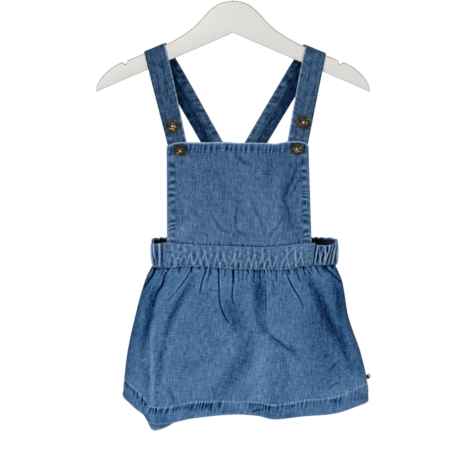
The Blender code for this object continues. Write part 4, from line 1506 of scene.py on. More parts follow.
# path of (x, height), width, depth, crease width, depth, lip
bibCreases = (
    (((72, -242), (69, -257), (60, -277), (59, -291), (62, -306), (66, -324)), 9.5, 1.2),
    (
        ((72, -251), (67, -265), (61, -276), (56.5, -286), (60, -294), (64, -305)),
        2.8, 0.45, 1.1, 0.16, 0.08,
    ),
    (((59, -303), (50, -317), (42, -327), (38, -334)), 2.6, 0.5, 1.1, 0.17, 0.1),
    (((76, -262), (70, -274), (64, -284)), 2.2, 0.2, 1, 0.12, -0.1),
    (((2, -233), (8, -242), (22, -250)), 4.4, 0.75, 1.1, 0.08, 0),
    (((-20, -246), (-14, -270), (0, -285), (4, -300)), 6.5, 0.32),
    (((4.6, -293), (2.8, -307), (4, -321), (12, -327), (17, -331)), 2.6, 0.5, 1.1, 0.19, 0.1),
    (((-27, -300), (-20, -311), (-13, -321), (-2, -325)), 2.6, 0.5, 1.1, 0.17, 0.1),
    (((22, -290), (26, -301), (32, -315), (36, -328)), 2.8, 0.5, 1.1, 0.13, 0.08),
    (((45, -246), (39, -262), (40, -276)), 6, 0.4),
    (((-52, -252), (-46, -266), (-48, -282)), 7, 0.3),
    (((34, -312), (37, -322), (35, -331)), 2.2, 0.3, 1.1, 0.08, 0),
    (((-70, -332), (-56, -322), (-40, -309)), 9.5, -1.1),
    (((-34, -322), (-28, -330)), 1.8, 0.3, 0.8, 0.15, 0.1),
)


def ringDepthAt(x):
    seam = atlas["front"][0]
    return np.interp(x, seam[0], seam[1])


def bibDepth(x, z):
    share = (bib["top"] - z) / (bib["top"] - backWaistTop)
    return bib["topDepth"] + (ringDepthAt(x) - bib["topDepth"]) * share


bibWearAndShade = {
    "fine": (2.2, 0.00036, 0.5),
    "broad": (20, 0.002, 0.34),
    "lower": (0.14, 0.45),
    "right": -0.1,
    "dashes": (1, -0.0024, 0.003),
    "gaps": -0.42,
    "knots": (0.36, 0.22),
    "slitShade": -0.95,
    "sideStitches": (1, 0.0004, 0.0008),
    "sideMottle": (-0.24, -0.26, 0.009, 59),
    "topLine": (1.9, 0.5, 0.0013),
    "sideLine": (0.75, 0, 0.0012),
    # a dark line along the bottom seam, painted shadow of the waistband
    "seamLine": (-0.55, 0, 0.0011),
    "leftCorner": 0.16,
    "hems": (-0.02, -0.1),
    "buttonShade": (-0.75, 1.06, 0.13),
    "hollows": ((0.0645, -0.2735, 0.007, 0.014), (0.0672, -0.313, 0.0048, 0.013)),
    "hollowShade": -0.17,
    "insideShare": -0.5,
}


def bibHems(x, fromTop, fromLeft, fromRight):
    # upright puckers of the top hem, deepest at its stitching
    inHem = fromTop / bib["topHem"]
    rise = np.clip(inHem * 0.75 + 0.25, 0, 1) ** 1.3
    rise = np.where(inHem < 1, rise, np.exp(-(inHem - 1) * 5) * 0.7)
    height, *how = bib["topPuckers"]
    topShape = puckers(x + fromTop * 0.12, *how)
    push = height * (topShape - 0.1) * rise * ease(np.minimum(fromLeft, fromRight), 0, 0.004)

    # the side hems' roping, slanting down towards the edge
    roped, gaps = np.zeros(x.shape), np.zeros(x.shape)
    for distance, (seed, lean) in zip((fromLeft, fromRight), bib["ropes"]):
        share = distance / bib["sideHem"]
        strength = np.where(
            share < 1, 0.25 + 0.75 * ease(share, 0, 0.75), np.exp(-(share - 1) * 7) * 0.9
        )
        lean = lean + 0.22 * np.sin(fromTop * 230 + seed)
        rope = puckers(fromTop + distance * lean, bib["ropePitch"], seed, 1.0, 1.0)
        here = strength * ease(fromTop, 0.007, 0.006)
        roped += (rope - 0.12) * here
        gaps += np.clip(0.1 - rope, 0, 1) * here * line(share, 2.2, 0.88, 0.28)
    return push + bib["rope"] * roped, topShape, roped, gaps


def bibFadingAndShade(push, x, z, down, fromTop, fromLeft, fromRight, fromBottom, topShape, roped, gaps):
    wornAndShaded = bibWearAndShade
    fromSide = np.minimum(fromLeft, fromRight)
    wearAndShade = wornAndShaded["lower"][0] * (down - wornAndShaded["lower"][1]) + wornAndShaded["right"] * ease(x, 0.045, 0.02)
    # pale worn crests, and painted shade in the hollows of creases
    for radius, depth, strength in (wornAndShaded["fine"], wornAndShaded["broad"]):
        wearAndShade += raised(push, radius, depth) * strength
    # hems: pale worn knots, painted shade in the gaps and slits between puckers, a mottled stitched
    # line
    dashes = line(fromTop - bib["topHem"], *wornAndShaded["dashes"])
    wearAndShade += wornAndShaded["gaps"] * gaps
    knots, more = wornAndShaded["knots"]
    inHem = ease(fromSide, bib["sideHem"], -0.002)
    wearAndShade += (knots + more * (x > 0)) * np.clip(roped - 0.05, 0, 1) * inHem
    uneven = 0.6 + 0.7 * rumple(x, z, 0.016, 58)
    wearAndShade += wornAndShaded["slitShade"] * np.clip(0.02 - topShape, 0, 1) * dashes * uneven
    base, more, *how = wornAndShaded["sideMottle"]
    mottle = base + more * rumple(z, x, *how)
    wearAndShade += mottle * line(fromSide - bib["sideHem"], *wornAndShaded["sideStitches"]) - 0.1 * dashes
    for spotX, spotZ, wide, tall in wornAndShaded["hollows"]:
        wearAndShade += wornAndShaded["hollowShade"] * bell(x - spotX, wide) * bell(z - spotZ, tall)
    # worn edges, palest where the straps hump the top; along the bottom seam a dark line is painted
    # shadow of the waistband
    overStrap = np.clip(tableAt(bibTopRows, x * 1000)[..., 1] - 0.2, 0, 1.2) / 1.2
    base, more, width = wornAndShaded["topLine"]
    wearAndShade += (base + more * overStrap) * bell(fromTop, width)
    wearAndShade += line(fromSide, *wornAndShaded["sideLine"]) + line(fromBottom, *wornAndShaded["seamLine"])
    strength, place, width = wornAndShaded["buttonShade"]
    for carrier, spotX, spotZ, *_ in buttonSpots.values():
        if carrier == "bib":
            across, up = (x - spotX) / 0.0082, (z - spotZ + 0.0008) / 0.0066
            wearAndShade += line(np.hypot(across, up), strength, place, width) * smoothStep(up * 2 + 0.6)
    wearAndShade += wornAndShaded["leftCorner"] * ease(fromBottom, 0.03, -0.03) * ease(fromLeft, 0.035, -0.02)
    for distance, shade in zip((fromSide, fromTop), wornAndShaded["hems"]):
        wearAndShade += shade * ease(distance, 0.014, -0.004)
    return wearAndShade


def makeBib(finishes, thread):
    over, down = (evenSpots(size, bib["step"], bib["roundEdge"]) for size in bib["flat"])
    over, down = np.meshgrid(over, down)
    left, right = (a + (b - a) * down for a, b in (bib["left"], bib["right"]))
    x = left + (right - left) * over
    waistTop = waistLine(x[-1], ringDepthAt(x[-1]))[0] + seamGap * 0.5
    topLine = bib["top"] + tableAt(bibTopRows, x[0] * 1000)[..., 1] / 1000
    z = topLine + (waistTop - topLine) * down
    y = bibDepth(x, z)

    fromTop, fromBottom = topLine - z, z - waistTop
    fromLeft, fromRight = x - left, right - x
    fromSide = np.minimum(fromLeft, fromRight)
    push = np.zeros(x.shape)
    for row in bibCreases:
        pleat(push, x, z, *row, rooted=False)
    inside = ease(fromSide, 0, 0.012) * ease(fromTop, 0, 0.012)
    push += rumpled(x, z, [bib["swell"]]) * inside + rumpled(x, z, bib["rumples"])
    hemPush, topShape, roped, gaps = bibHems(x, fromTop, fromLeft, fromRight)
    push += hemPush
    height, *how = bib["seamPuckers"]
    push += height * (puckers(x, *how) - 0.35) * bell(fromBottom - 0.0012, 0.0016)
    wearAndShade = bibFadingAndShade(
        push, x, z, down, fromTop, fromLeft, fromRight, fromBottom, topShape, roped, gaps
    )

    middle = np.stack([x, y - push, z], -1)
    out = gridNormals(np.stack([x, y, z], -1))
    out *= -np.sign(out[..., 1:2])
    thick = roundEdge(np.minimum(fromTop, fromSide), bib["edgeRadius"])
    hemmed = np.maximum(
        ease(fromTop, bib["topHem"], -0.0008), ease(fromSide, bib["sideHem"], -0.0008)
    )
    inner = bib["inner"] + (bib["hemInner"] - bib["inner"]) * hemmed
    # the inner face stays off the straps behind it
    inner = np.maximum(inner + np.minimum(push, 0) * 0.8, 0.0002)
    uv = np.stack([x + bib["uvStart"], z], -1)
    walls, inside = (bib["outer"] * thick, inner * thick), bibWearAndShade["insideShare"] * wearAndShade
    piece, grid = clothShell("bibPanel", middle, out, *walls, uv, wearAndShade, finishes, insideWearAndShade=inside)

    columns, rows = np.arange(grid.shape[1]), np.arange(grid.shape[0])
    hem = [np.interp(bib["topHem"], fromTop[:, c], rows) for c in columns]
    stitches = stitchesAlong(*lineOn(grid, out, hem, columns))
    for offset, distance in ((bib["sideHem"], fromLeft), (-bib["sideHem"], -fromRight)):
        hem = [np.interp(offset, distance[r], columns) for r in rows]
        stitches += stitchesAlong(*lineOn(grid, out, rows, hem))
    return piece, stitchPiece("bibStitches", stitches, thread)


strap = {
    "outer": 0.00085,
    "step": 0.00115,
    "columnStep": 0.00085,
    "width": 0.0225,
    "roundEdge": (0.0001, 0.0003, 0.0007),
    "edgeRadius": 0.001,
    "turnRadius": 0.002,
    "solidWall": 0.002,
    "stitchInset": 0.0014,
    "stitches": {"pitch": 0.0023, "length": 0.0017},
    "seeds": {-1: 61, 1: 71},
    "uvStart": {-1: 3.0, 1: 3.4},
    "puckerPitch": 0.0064,
    # lengthwise creases: place from the middle and height
    "creases": ((-0.0028, -0.00026), (0.0022, 0.00022), (0.006, -0.0002)),
}

arm = {"lineTop": -0.0816, "slope": math.radians(22.4), "thickness": 0.012}

# drop below the hook, x, y, width
strapRoutes = {
    "strapLeft": {
        "hand": -1,
        "node": "strap_left",
        "wash": -0.17,
        "paler": 0.04,
        "armX": (-0.0884, -0.0862),
        "front": (
            (0.148, -0.0809, -0.0075, 0.0248), (0.2239, -0.0632, -0.0103, 0.0218),
            (0.2555, -0.0562, -0.0116, 0.0216),
        ),
        "back": (
            (0.148, -0.0671, 0.0077, 0.0236), (0.2227, -0.0245, 0.0098, 0.0222),
            (0.268, 0.0008, 0.0118, 0.022), (0.297, 0.0169, 0.0134, 0.022),
            (0.346, 0.044, 0.0157, 0.022),
        ),
    },
    "strapRight": {
        "hand": 1,
        "node": "strap_right",
        "wash": -0.03,
        "paler": 0.26,
        "armX": (0.0929, 0.0901),
        "front": (
            (0.148, 0.0871, -0.0075, 0.0248), (0.2239, 0.0729, -0.0103, 0.0234),
            (0.2555, 0.0669, -0.0116, 0.0232),
        ),
        "back": (
            (0.148, 0.0715, 0.0077, 0.0236), (0.2227, 0.027, 0.0128, 0.0224),
            (0.268, 0.0008, 0.0148, 0.022), (0.297, -0.0158, 0.016, 0.022),
            (0.346, -0.0435, 0.0155, 0.022),
        ),
    },
}


def armHeight(x):
    return arm["lineTop"] - math.tan(arm["slope"]) * abs(x)


def strapFall(rows, fold, acrossArm, width):
    # sections down a strap from its fold over the arm
    table = ((-fold[2], fold[0], fold[1], width), *rows)
    top = table[0][0]
    length = rows[-1][0] - top
    count = math.ceil(length / strap["step"])
    sections = []
    for step in range(1, count + 1):
        drop = top + length * step / count
        _, x, y, wide = tableAt(table, drop)
        lean = math.atan2(tableAt(table, drop + 0.002)[1] - tableAt(table, drop - 0.002)[1], 0.004)
        square = np.array((math.cos(lean), 0, math.sin(lean)))
        share = float(ease(drop, top, 0.035))
        across = unit(acrossArm * (1 - share) + square * share)
        sections.append((np.array((x, y, -drop)), across, wide))
    return sections


def strapStations(route):
    # from the tail behind the bib, over the arm, to the end inside the back band
    hand, slope = route["hand"], arm["slope"]
    acrossArm = np.array((math.cos(slope), 0, -hand * math.sin(slope)))
    away = np.array((hand * math.sin(slope), 0, math.cos(slope)))
    turnRadius = strap["turnRadius"]
    crown = seamGap + strap["solidWall"] / 2
    face = arm["thickness"] / 2 + crown
    frontX, backX = route["armX"]
    width = route["front"][0][3]
    turn = []
    for quarter, first in ((-1, math.pi), (1, math.pi / 2)):
        for step in range(7):
            angle = first - step / 6 * math.pi / 2
            y = quarter * (face - turnRadius) + turnRadius * math.cos(angle)
            height = crown - turnRadius + turnRadius * math.sin(angle)
            x = frontX + (backX - frontX) * (y + face) / (2 * face)
            turn.append((np.array((x, y, armHeight(x))) + away * height, acrossArm, width))
    front = strapFall(route["front"], turn[0][0], acrossArm, width)
    back = strapFall(route["back"], turn[-1][0], acrossArm, width)
    top = []
    for first, second in zip(turn, turn[1:]):
        top.append(first)
        if np.linalg.norm(second[0] - first[0]) > 0.003:
            for t in np.linspace(0, 1, 8)[1:-1]:
                top.append((first[0] * (1 - t) + second[0] * t, first[1], first[2]))
    return front[::-1] + top + turn[-1:] + back, len(front)


strapWearAndShade = {
    "fine": (2.2, 0.00024, 0.5),
    "innerLine": (1.7, 0, 0.0015),
    "innerShade": (-0.35, 0.0023, 0.0006),
    "outerShade": (-0.3, 0, 0.0016),
    "atBib": (0.8, 0.2172, 0.0013),
    "overArm": (-1.0, 0, 0.005),
    "behind": (0.3, 0.2),
    "insideEdge": (0.3, 0, 0.0008),
    "insideShade": -0.42,
    "insideFine": (-0.35, 0.9),
    "insideHalfShade": (0.56, 0.24, -0.26),
    "insideShadeNearArm": (-0.6, -0.74),
    "insideCreaseShade": (-0.22, 0.0014),
}


def strapFadingAndShade(route, push, s, side, inner, outer, overArm, behind, loose, atBib):
    wornAndShaded, seed = strapWearAndShade, strap["seeds"][route["hand"]]
    radius, depth, strength = wornAndShaded["fine"]
    # pale worn crests, and painted shade in the hollows of the puckers
    fine = raised(push, radius, depth)
    wearAndShade = fine * strength + route["wash"]
    wearAndShade += line(inner, *wornAndShaded["innerLine"]) * (0.75 + 0.7 * puckers(s, 0.0026, seed + 5))
    wearAndShade += line(inner, *wornAndShaded["innerShade"])
    wearAndShade += line(outer, *wornAndShaded["outerShade"]) * (1 - behind)
    # a creased row where the strap goes behind the bib
    creased = 0.5 + 0.8 * rumple(s, side, 0.0052, seed + 7)
    wearAndShade += line(atBib, *wornAndShaded["atBib"]) * (1 - behind) * creased
    # the cloth over and behind the arm is painted darker as painted shade, less so further down,
    # with a dark line painted along the fold over the arm
    downFromArm = ease(s - overArm, 0.03, 0.11)
    shade, less = wornAndShaded["behind"]
    wearAndShade -= behind * (shade - less * downFromArm)
    wearAndShade += line(s - overArm, *wornAndShaded["overArm"])
    # inside, the half towards the middle is paler and puckered; the whole face, its outer half, a
    # crease between the halves and the cloth near the arm are painted darker as painted shade
    halves = ease(outer - inner, -0.001, 0.0035)
    deep = np.exp(-np.clip(s - overArm - 0.01, 0, None) / 0.032) * behind
    mottle = rumple(s, side, 0.0085, seed + 6, 1.4)
    loosely, half = wornAndShaded["insideFine"]
    inside = fine * (loosely * loose + half * halves * behind) + wornAndShaded["insideShade"]
    inside += line(np.minimum(inner, outer), *wornAndShaded["insideEdge"])
    base, more, rest = wornAndShaded["insideHalfShade"]
    inside += behind * (halves * (base + more * mottle) + rest + downFromArm * route["paler"])
    base, half = wornAndShaded["insideShadeNearArm"]
    inside += deep * (base + half * halves)
    strength, width = wornAndShaded["insideCreaseShade"]
    place = 0.001 + 0.0014 * np.sin(s * 70 + seed)
    uneven = 0.6 + 0.4 * np.sin(s * 45 + seed)
    inside += line(outer - inner, strength, place, width) * behind * uneven
    return wearAndShade, inside


def makeStrap(name, route, finishes, thread):
    hand, seed = route["hand"], strap["seeds"][route["hand"]]
    stations, frontCount = strapStations(route)
    centres, across, widths = (np.array(column) for column in zip(*stations))
    steps = np.linalg.norm(np.diff(centres, axis=0), axis=1)
    along = np.concatenate([[0], np.cumsum(steps)])
    away = unit(-np.cross(unit(np.gradient(centres, axis=0)), across))

    over = evenSpots(strap["width"], strap["columnStep"], strap["roundEdge"])
    side = (over - 0.5)[None, :] * widths[:, None]
    s = np.broadcast_to(along[:, None], side.shape)
    fromLow, fromHigh = side + widths[:, None] / 2, widths[:, None] / 2 - side
    inner, outer = (fromHigh, fromLow) if hand < 0 else (fromLow, fromHigh)

    overArm = along[frontCount + 9]
    behind = ease(s - overArm, -0.004, 0.01)
    loose = ease(np.abs(s - overArm), 0.01, 0.014)
    push = 0.00034 * rumple(s, side, 0.034, seed) * loose
    push += 0.00014 * rumple(s, side, 0.011, seed + 1)
    inset = strap["stitchInset"]
    for distance, size, extra in ((inner, 0.00065, 2), (outer, 0.0003, 3)):
        near = np.where(
            distance < inset, 0.5 + 0.5 * distance / inset, np.exp(-(distance - inset) / 0.0036)
        )
        shape = puckers(s + distance * 0.4, strap["puckerPitch"], seed + extra, 1.2)
        push += size * (shape - 0.05) * near
    sway = 0.0012 * np.sin(s * math.tau / 0.11 + seed)
    for spot, size in strap["creases"]:
        uneven = loose * (0.6 + 0.6 * np.sin(s * 90 + spot * 900))
        push += line(side * hand - sway, size, spot, 0.0013) * uneven
    push *= 0.35 + 0.65 * loose
    wearAndShade, insideWearAndShade = strapFadingAndShade(
        route, push, s, side, inner, outer, overArm, behind, loose, -centres[:, 2:]
    )

    out = np.broadcast_to(away[:, None, :], (*side.shape, 3))
    middle = centres[:, None, :] + across[:, None, :] * side[..., None]
    middle = middle + out * (push * 0.35)[..., None]
    ends = np.minimum(s, along[-1] - s)
    edge = np.minimum(fromLow, fromHigh)
    radius = strap["edgeRadius"]
    thick = strap["outer"] * roundEdge(edge, radius) * roundEdge(ends, radius)
    uv = np.stack([side + strap["uvStart"][hand], s], -1)
    reverse = thick + push * np.where(behind > 0.5, -0.35, 0.2)
    walls = (thick + push * 0.65, reverse)
    piece, grid = clothShell(name, middle, out, *walls, uv, wearAndShade, finishes, 1, insideWearAndShade)
    rows = np.linspace(1, grid.shape[0] - 2, 500)
    offset = inset / strap["width"]
    offset = 1 - offset if hand < 0 else offset
    column = float(np.interp(offset, over, np.arange(grid.shape[1])))
    stitches = []
    for face, normals in ((grid, out), (middle - out * reverse[..., None], -out)):
        points, ups = lineOn(face, normals, rows, column)
        stitches += stitchesAlong(points, ups, **strap["stitches"])
    return piece, stitchPiece(f"{name}Stitches", stitches, thread), along[-1]


button = {
    "radius": 0.0076,
    "thickness": 0.0028,
    "sides": 48,
    "rim": 0.0013,
    # inset and rise of the groove, its inner edge, the shallow dish and the middle
    "face": ((0.0006, -0.00075), (0.0007, 0.00022), (0.0018, -0.00022), (0.0014, -0.00004)),
    "back": (0.0018, 0.0004),
    "bevel": 0.00032,
    "hole": 0.0008,
    "holeRing": 0.0017,
    "tip": math.radians(42),
    "gap": 0.0004,
    "strand": 0.00024,
    "strandSides": 6,
    # its depth in the hole, its bow and the lift of the one on top
    "thread": (0.00045, 0.00062, 0.00028),
}

# what it is sewn to, x, height, turn in degrees, node
buttonSpots = {
    "strapButtonLeft": ("strapLeft", -0.0684, -0.2045, 8, "strap_button_left"),
    "strapButtonRight": ("strapRight", 0.0791, -0.2003, -14, "strap_button_right"),
    "bibButtonLeft": ("bib", -0.0597, -0.2314, 20, "bib_button_left"),
    "bibButtonRight": ("bib", 0.0718, -0.2296, -30, "bib_button_right"),
}


def activate(piece):
    bpy.ops.object.select_all(action="DESELECT")
    piece.select_set(True)
    bpy.context.view_layer.objects.active = piece


def applyModifier(piece, kind, **settings):
    modifier = piece.modifiers.new(kind.lower(), kind)
    for key, value in settings.items():
        setattr(modifier, key, value)
    activate(piece)
    bpy.ops.object.modifier_apply(modifier=modifier.name)


def selectEnd(piece, side):
    # only the flat end face on that side
    bpy.ops.object.mode_set(mode="OBJECT")
    for item in (*piece.data.vertices, *piece.data.edges):
        item.select = False
    for polygon in piece.data.polygons:
        polygon.select = polygon.normal.z * side > 0.9 and len(polygon.vertices) > 8
        if polygon.select:
            for index in polygon.vertices:
                piece.data.vertices[index].select = True
    bpy.ops.object.mode_set(mode="EDIT")


def makeButtonBlank():
    radius, ring, hole = button["radius"], button["holeRing"], button["hole"]
    bpy.ops.mesh.primitive_cylinder_add(
        vertices=button["sides"], radius=radius, depth=button["thickness"], location=(0, 0, 0)
    )
    blank = bpy.context.object
    blank.name = "buttonBlank"
    bpy.ops.object.mode_set(mode="EDIT")
    bpy.ops.mesh.select_mode(type="FACE")
    front = ((button["rim"], 0), *button["face"])
    for side, insets in ((1, front), (-1, [button["back"]])):
        selectEnd(blank, side)
        for width, rise in insets:
            bpy.ops.mesh.inset(thickness=width, depth=rise)
    bpy.ops.object.mode_set(mode="OBJECT")
    sharp = {"limit_method": "ANGLE", "angle_limit": math.radians(24)}
    applyModifier(blank, "BEVEL", width=button["bevel"], segments=3, **sharp)
    for quarter in range(4):
        angle = math.pi / 4 + math.pi / 2 * quarter
        place = (ring * math.cos(angle), ring * math.sin(angle), 0)
        bpy.ops.mesh.primitive_cylinder_add(vertices=18, radius=hole, depth=0.008, location=place)
        drill = bpy.context.object
        applyModifier(blank, "BOOLEAN", operation="DIFFERENCE", solver="EXACT", object=drill)
        bpy.data.objects.remove(drill)
    activate(blank)
    bpy.ops.object.shade_smooth_by_angle(angle=math.radians(38))
    # painted shade in the groove, in the holes and round the side
    shade = blank.data.attributes.new("grooveShade", "FLOAT", "POINT")
    groove = radius - button["rim"] - 0.0004
    for vertex, item in zip(blank.data.vertices, shade.data):
        away = math.hypot(vertex.co.x, vertex.co.y)
        atSide, inHole = away > radius - 0.0002, away < ring + hole + 0.0001
        item.value = max(bell(away - groove, 0.0006), atSide, 0.6 * inHole)
    return blank


def tubePoints(path, radius, sides):
    runs = unit(np.gradient(np.array(path), axis=0))
    points = []
    for centre, run in zip(path, runs):
        wide = unit(np.cross(run, (1, 0, 0)))
        high = np.cross(wide, run)
        for side in range(sides):
            angle = math.tau * side / sides
            points.append(centre + (wide * math.cos(angle) + high * math.sin(angle)) * radius)
    return points


def makeThread(name, material):
    # crossed thread through the four holes, each way with two strands
    deep, bowed, over = button["thread"]
    sides, radius = button["strandSides"], button["strand"]
    points, faces = [], []
    for angle, lift in ((math.pi / 4, 0.0), (3 * math.pi / 4, over)):
        run = np.array((math.cos(angle), math.sin(angle), 0))
        wide = np.array((-math.sin(angle), math.cos(angle), 0))
        for lane in (-0.5, 0.5):
            path = []
            for t in np.linspace(-1, 1, 13):
                bow = 1 - t**2
                high = button["thickness"] / 2 - deep + bowed * bow**0.5 + lift * bow
                if abs(t) > 0.93:
                    high -= 0.0012
                strand = wide * lane * radius * 1.7
                path.append(run * button["holeRing"] * t + strand + np.array((0, 0, high)))
            faces += tubeFaces(len(path), sides, len(points))
            points += tubePoints(path, radius, sides)
    return newObject(name, newMesh(name, points, faces, [material]))


def makeButtons(body, thread):
    blank = makeButtonBlank()
    for name, (carrier, x, z, turned, node) in buttonSpots.items():
        tip, reach = 0.0, button["thickness"] / 2
        if carrier == "bib":
            # the bib's weight tips its button down
            tip = button["tip"]
            reach = button["radius"] * math.sin(tip) + 0.0001
            face = bibDepth(x, z - button["radius"] * math.cos(tip)) - bib["outer"]
        else:
            face = tableAt(strapRoutes[carrier]["front"], -z)[2] - strap["outer"]
        place = Matrix.Translation((x, face - button["gap"] - reach, z))
        place = place @ Matrix.Rotation(math.pi / 2 + tip, 4, "X")
        place = place @ Matrix.Rotation(math.radians(turned), 4, "Z")
        piece = newObject(name, blank.data.copy())
        piece.data.materials.clear()
        piece.data.materials.append(body)
        wearSlot(piece, "button_horn", node)
        sewn = makeThread(f"{name}Thread", thread)
        wearSlot(sewn, "denim")
        for part in (piece, sewn):
            part.data.transform(place)
    bpy.data.objects.remove(blank)


hanger = {
    "crownTop": -0.064,
    "crownRun": 0.02,
    "flank": (0.0385, -0.0878),
    "flankRun": (0.011, -0.0119),
    "armStart": 0.08,
    "armRun": 0.013,
    "notchStart": 0.1185,
    "notch": (0.1208, -0.1355),
    "shoulder": (0.125, -0.1325),
    "tip": (0.155, -0.166),
    "tipRun": 0.015,
    "apex": (0.0, -0.0996),
    "rounding": 0.0014,
    "merge": 0.000005,
    "wire": 0.0017,
    "hookInside": 0.016,
    # where the hook starts and ends round its rail, in degrees
    "hookTurn": (190, -50),
    "neckRun": 0.008,
    "neckEnd": -0.047,
    "shankEnd": -0.0777,
    # the rounded end, in radii: distance past the wire, width
    "wireEnd": ((0.85, 0.35), (0.6, 0.75), (0.3, 0.94)),
}


def hangerKnots():
    # place and handles of each knot, from the crown by the right tip
    startX, notchX = hanger["armStart"], hanger["notchStart"]
    start, notchTop = Vector((startX, armHeight(startX))), Vector((notchX, armHeight(notchX)))
    armRun = Vector((math.cos(arm["slope"]), -math.sin(arm["slope"]))) * hanger["armRun"]
    named = ("flank", "flankRun", "notch", "shoulder", "tip", "apex")
    flank, flankRun, notch, shoulder, tip, apex = (Vector(hanger[key]) for key in named)
    crown, level = Vector((0, hanger["crownTop"])), Vector((hanger["crownRun"], 0))
    third = (notchTop - start) / 3
    right = [
        (flank, flank - flankRun, flank + flankRun),
        (start, start - armRun, start + third),
        (notchTop, notchTop - third, notchTop + (notch - notchTop) / 3),
        (notch, notch - (notch - notchTop) / 3, notch + (shoulder - notch) / 3),
        (shoulder, shoulder - (shoulder - notch) / 3, shoulder + armRun),
        (tip, tip + Vector((0, hanger["tipRun"])), tip + (apex - tip) / 3),
    ]
    otherTip = Vector((-tip.x, tip.y))
    knots = [(crown, crown - level, crown + level), *right]
    knots.append((apex, apex + (tip - apex) / 3, apex + (otherTip - apex) / 3))
    for place, before, after in reversed(right):
        knots.append([Vector((-point.x, point.y)) for point in (place, after, before)])
    return knots


def hookPath():
    # from the open end over the rail, down the neck, into the wood
    inside, run = hanger["hookInside"], hanger["neckRun"]
    radius = inside + hanger["wire"]
    opening, closing = hanger["hookTurn"]
    places = []
    for step in range(33):
        angle = math.radians(opening + (closing - opening) * step / 32)
        places.append(Vector((radius * math.cos(angle), 0, radius * math.sin(angle) - inside)))
    away = (places[-1] - places[-2]).normalized()
    neck = Vector((0, 0, hanger["neckEnd"]))
    start, first, second = places[-1].copy(), places[-1] + away * run, neck + Vector((0, 0, run))
    for step in range(1, 13):
        t = step / 12
        bend = start * (1 - t) ** 3 + first * 3 * t * (1 - t) ** 2
        places.append(bend + second * 3 * t**2 * (1 - t) + neck * t**3)
    for step in range(1, 7):
        places.append(Vector((0, 0, neck.z + (hanger["shankEnd"] - neck.z) * step / 6)))
    return places


def newCurve(name, kind, count, **settings):
    curve = bpy.data.curves.new(name, "CURVE")
    for key, value in settings.items():
        setattr(curve, key, value)
    spline = curve.splines.new(kind)
    points = spline.bezier_points if kind == "BEZIER" else spline.points
    points.add(count - 1)
    return curve, spline, points


def curvePiece(name, curve, turn=(0, 0, 0)):
    piece = newObject(name, curve)
    piece.rotation_euler = turn
    activate(piece)
    bpy.ops.object.convert(target="MESH")
    bpy.ops.object.transform_apply(location=True, rotation=True, scale=True)
    return bpy.context.object


def finishPiece(piece, sharp, material, slot, node):
    bpy.ops.object.shade_smooth_by_angle(angle=math.radians(sharp))
    piece.data.materials.clear()
    piece.data.materials.append(material)
    wearSlot(piece, slot, node)


def makeHanger(wood, steel):
    knots, rounding = hangerKnots(), hanger["rounding"]
    board = {"dimensions": "2D", "fill_mode": "BOTH", "extrude": arm["thickness"] / 2 - rounding}
    edge = {"bevel_depth": rounding, "bevel_resolution": 3, "offset": -rounding}
    curve, spline, points = newCurve(
        "hangerOutline", "BEZIER", len(knots), **board, **edge, resolution_u=16
    )
    spline.use_cyclic_u = True
    for point, (place, before, after) in zip(points, knots):
        point.handle_left_type = point.handle_right_type = "FREE"
        point.co, point.handle_left, point.handle_right = (*place, 0), (*before, 0), (*after, 0)
    body = curvePiece("hangerWood", curve, (math.pi / 2, 0, 0))
    bpy.ops.object.mode_set(mode="EDIT")
    bpy.ops.mesh.select_all(action="SELECT")
    bpy.ops.mesh.remove_doubles(threshold=hanger["merge"])
    bpy.ops.mesh.normals_make_consistent(inside=False)
    bpy.ops.object.mode_set(mode="OBJECT")
    finishPiece(body, 34, wood, "white_wood", "hanger_body")

    places, width = hookPath(), hanger["wire"]
    back = (places[0] - places[1]).normalized()
    rounded = [(places[0] + back * width * past, size) for past, size in hanger["wireEnd"]]
    rounded += [(place, 1.0) for place in places]
    bar = {"dimensions": "3D", "bevel_depth": width, "bevel_resolution": 5}
    curve, _, points = newCurve("hookWire", "POLY", len(rounded), **bar, use_fill_caps=True)
    for point, (place, size) in zip(points, rounded):
        point.co = (*place, 1)
        point.radius = size
    finishPiece(curvePiece("hookWire", curve), 50, steel, "hook_wire", "hanger_hook")
    return body


tab = {
    "thickness": 0.001,
    "cuts": 9,
    # how far it curls back, waves and rises
    "curl": (0.0011, 0.0004, 0.0006),
    "bevel": 0.00018,
    "share": 0.76,
    "darkShare": 0.62,
    "tilt": -38,
    "inward": 0.0013,
}


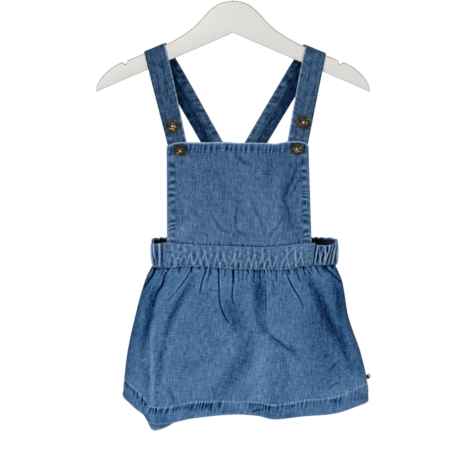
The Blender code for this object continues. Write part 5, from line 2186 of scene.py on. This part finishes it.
def makeTab(dark, pale):
    low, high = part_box("side_tab")
    size = high - low
    bpy.ops.mesh.primitive_cube_add(size=1, location=(0, 0, 0))
    piece = bpy.context.object
    piece.name = "sideTab"
    bpy.ops.object.mode_set(mode="EDIT")
    bpy.ops.mesh.select_all(action="SELECT")
    bpy.ops.transform.resize(value=(size.x, tab["thickness"] * 0.75, size.z))
    bpy.ops.mesh.subdivide(number_cuts=tab["cuts"])
    bpy.ops.object.mode_set(mode="OBJECT")
    # the folded tape curls a little and fattens at its fold
    curl, wave, rise = tab["curl"]
    for vertex in piece.data.vertices:
        along = vertex.co.x / size.x + 0.5
        vertex.co.y *= 1 + 0.6 * max(0.0, along - 0.75) / 0.25 - 1.1 * max(0.0, along - 0.93) / 0.07
        vertex.co.y += curl * along**2 - wave * math.sin(vertex.co.z / size.z * 3)
        vertex.co.z += rise * along
    applyModifier(piece, "BEVEL", width=tab["bevel"], segments=2, limit_method="ANGLE")
    for material in (dark, pale):
        piece.data.materials.append(material)
    for polygon in piece.data.polygons:
        polygon.material_index = int(polygon.center.x / size.x + 0.5 > tab["darkShare"])
    place = Matrix.Translation((low + high) / 2 + Vector((-tab["inward"], 0, 0)))
    turn = Matrix.Rotation(math.radians(tab["tilt"]), 4, "Y")
    piece.data.transform(place @ turn @ Matrix.Scale(tab["share"], 4))
    activate(piece)
    bpy.ops.object.shade_smooth_by_angle(angle=math.radians(40))
    wearSlot(piece, "woven_tape", "side_tab")


def makeFloor(material):
    bpy.ops.mesh.primitive_circle_add(
        vertices=96,
        radius=studio["floorRadius"],
        fill_type="NGON",
        location=(0, 0, studio["floorHeight"]),
    )
    floor = bpy.context.object
    floor.name = "floor"
    floor.data.materials.append(material)


def wearDenim(piece, node):
    wearSlot(piece, "denim", node)


makeStudio()
makeWorld()
finish = makeMaterials()
makeFloor(finish["floor"])
print("studio and materials ready")

hangerWood = makeHanger(finish["wood"], finish["steel"])
print("hanger made")

for name, route in strapRoutes.items():
    piece, sewn, length = makeStrap(name, route, [finish["strap"]], finish["thread"])
    wearDenim(piece, route["node"])
print("straps made")

bibPiece, bibSewn = makeBib([finish["bib"], finish["inside"]], finish["thread"])
wearDenim(bibPiece, "bib")
print("bib made")

frontBand, frontSewn = makeFrontBand([finish["band"], finish["inside"]], finish["thread"])
wearDenim(frontBand, "waistband_front")
backBand, backSewn = makeBackBand([finish["band"], finish["lining"]], finish["thread"])
wearDenim(backBand, "waistband_back")
print("waistbands made")

for side, holder in (("front", frontBand), ("back", backBand)):
    piece, sewn = makeSkirt(side, [finish["skirt"], finish["inside"]], finish["thread"])
    wearDenim(piece, f"skirt_{side}")
print("skirt panels made")

makeButtons(finish["horn"], finish["lilac"])
makeTab(finish["tapeDark"], finish["tapePale"])
print("buttons and tab made")
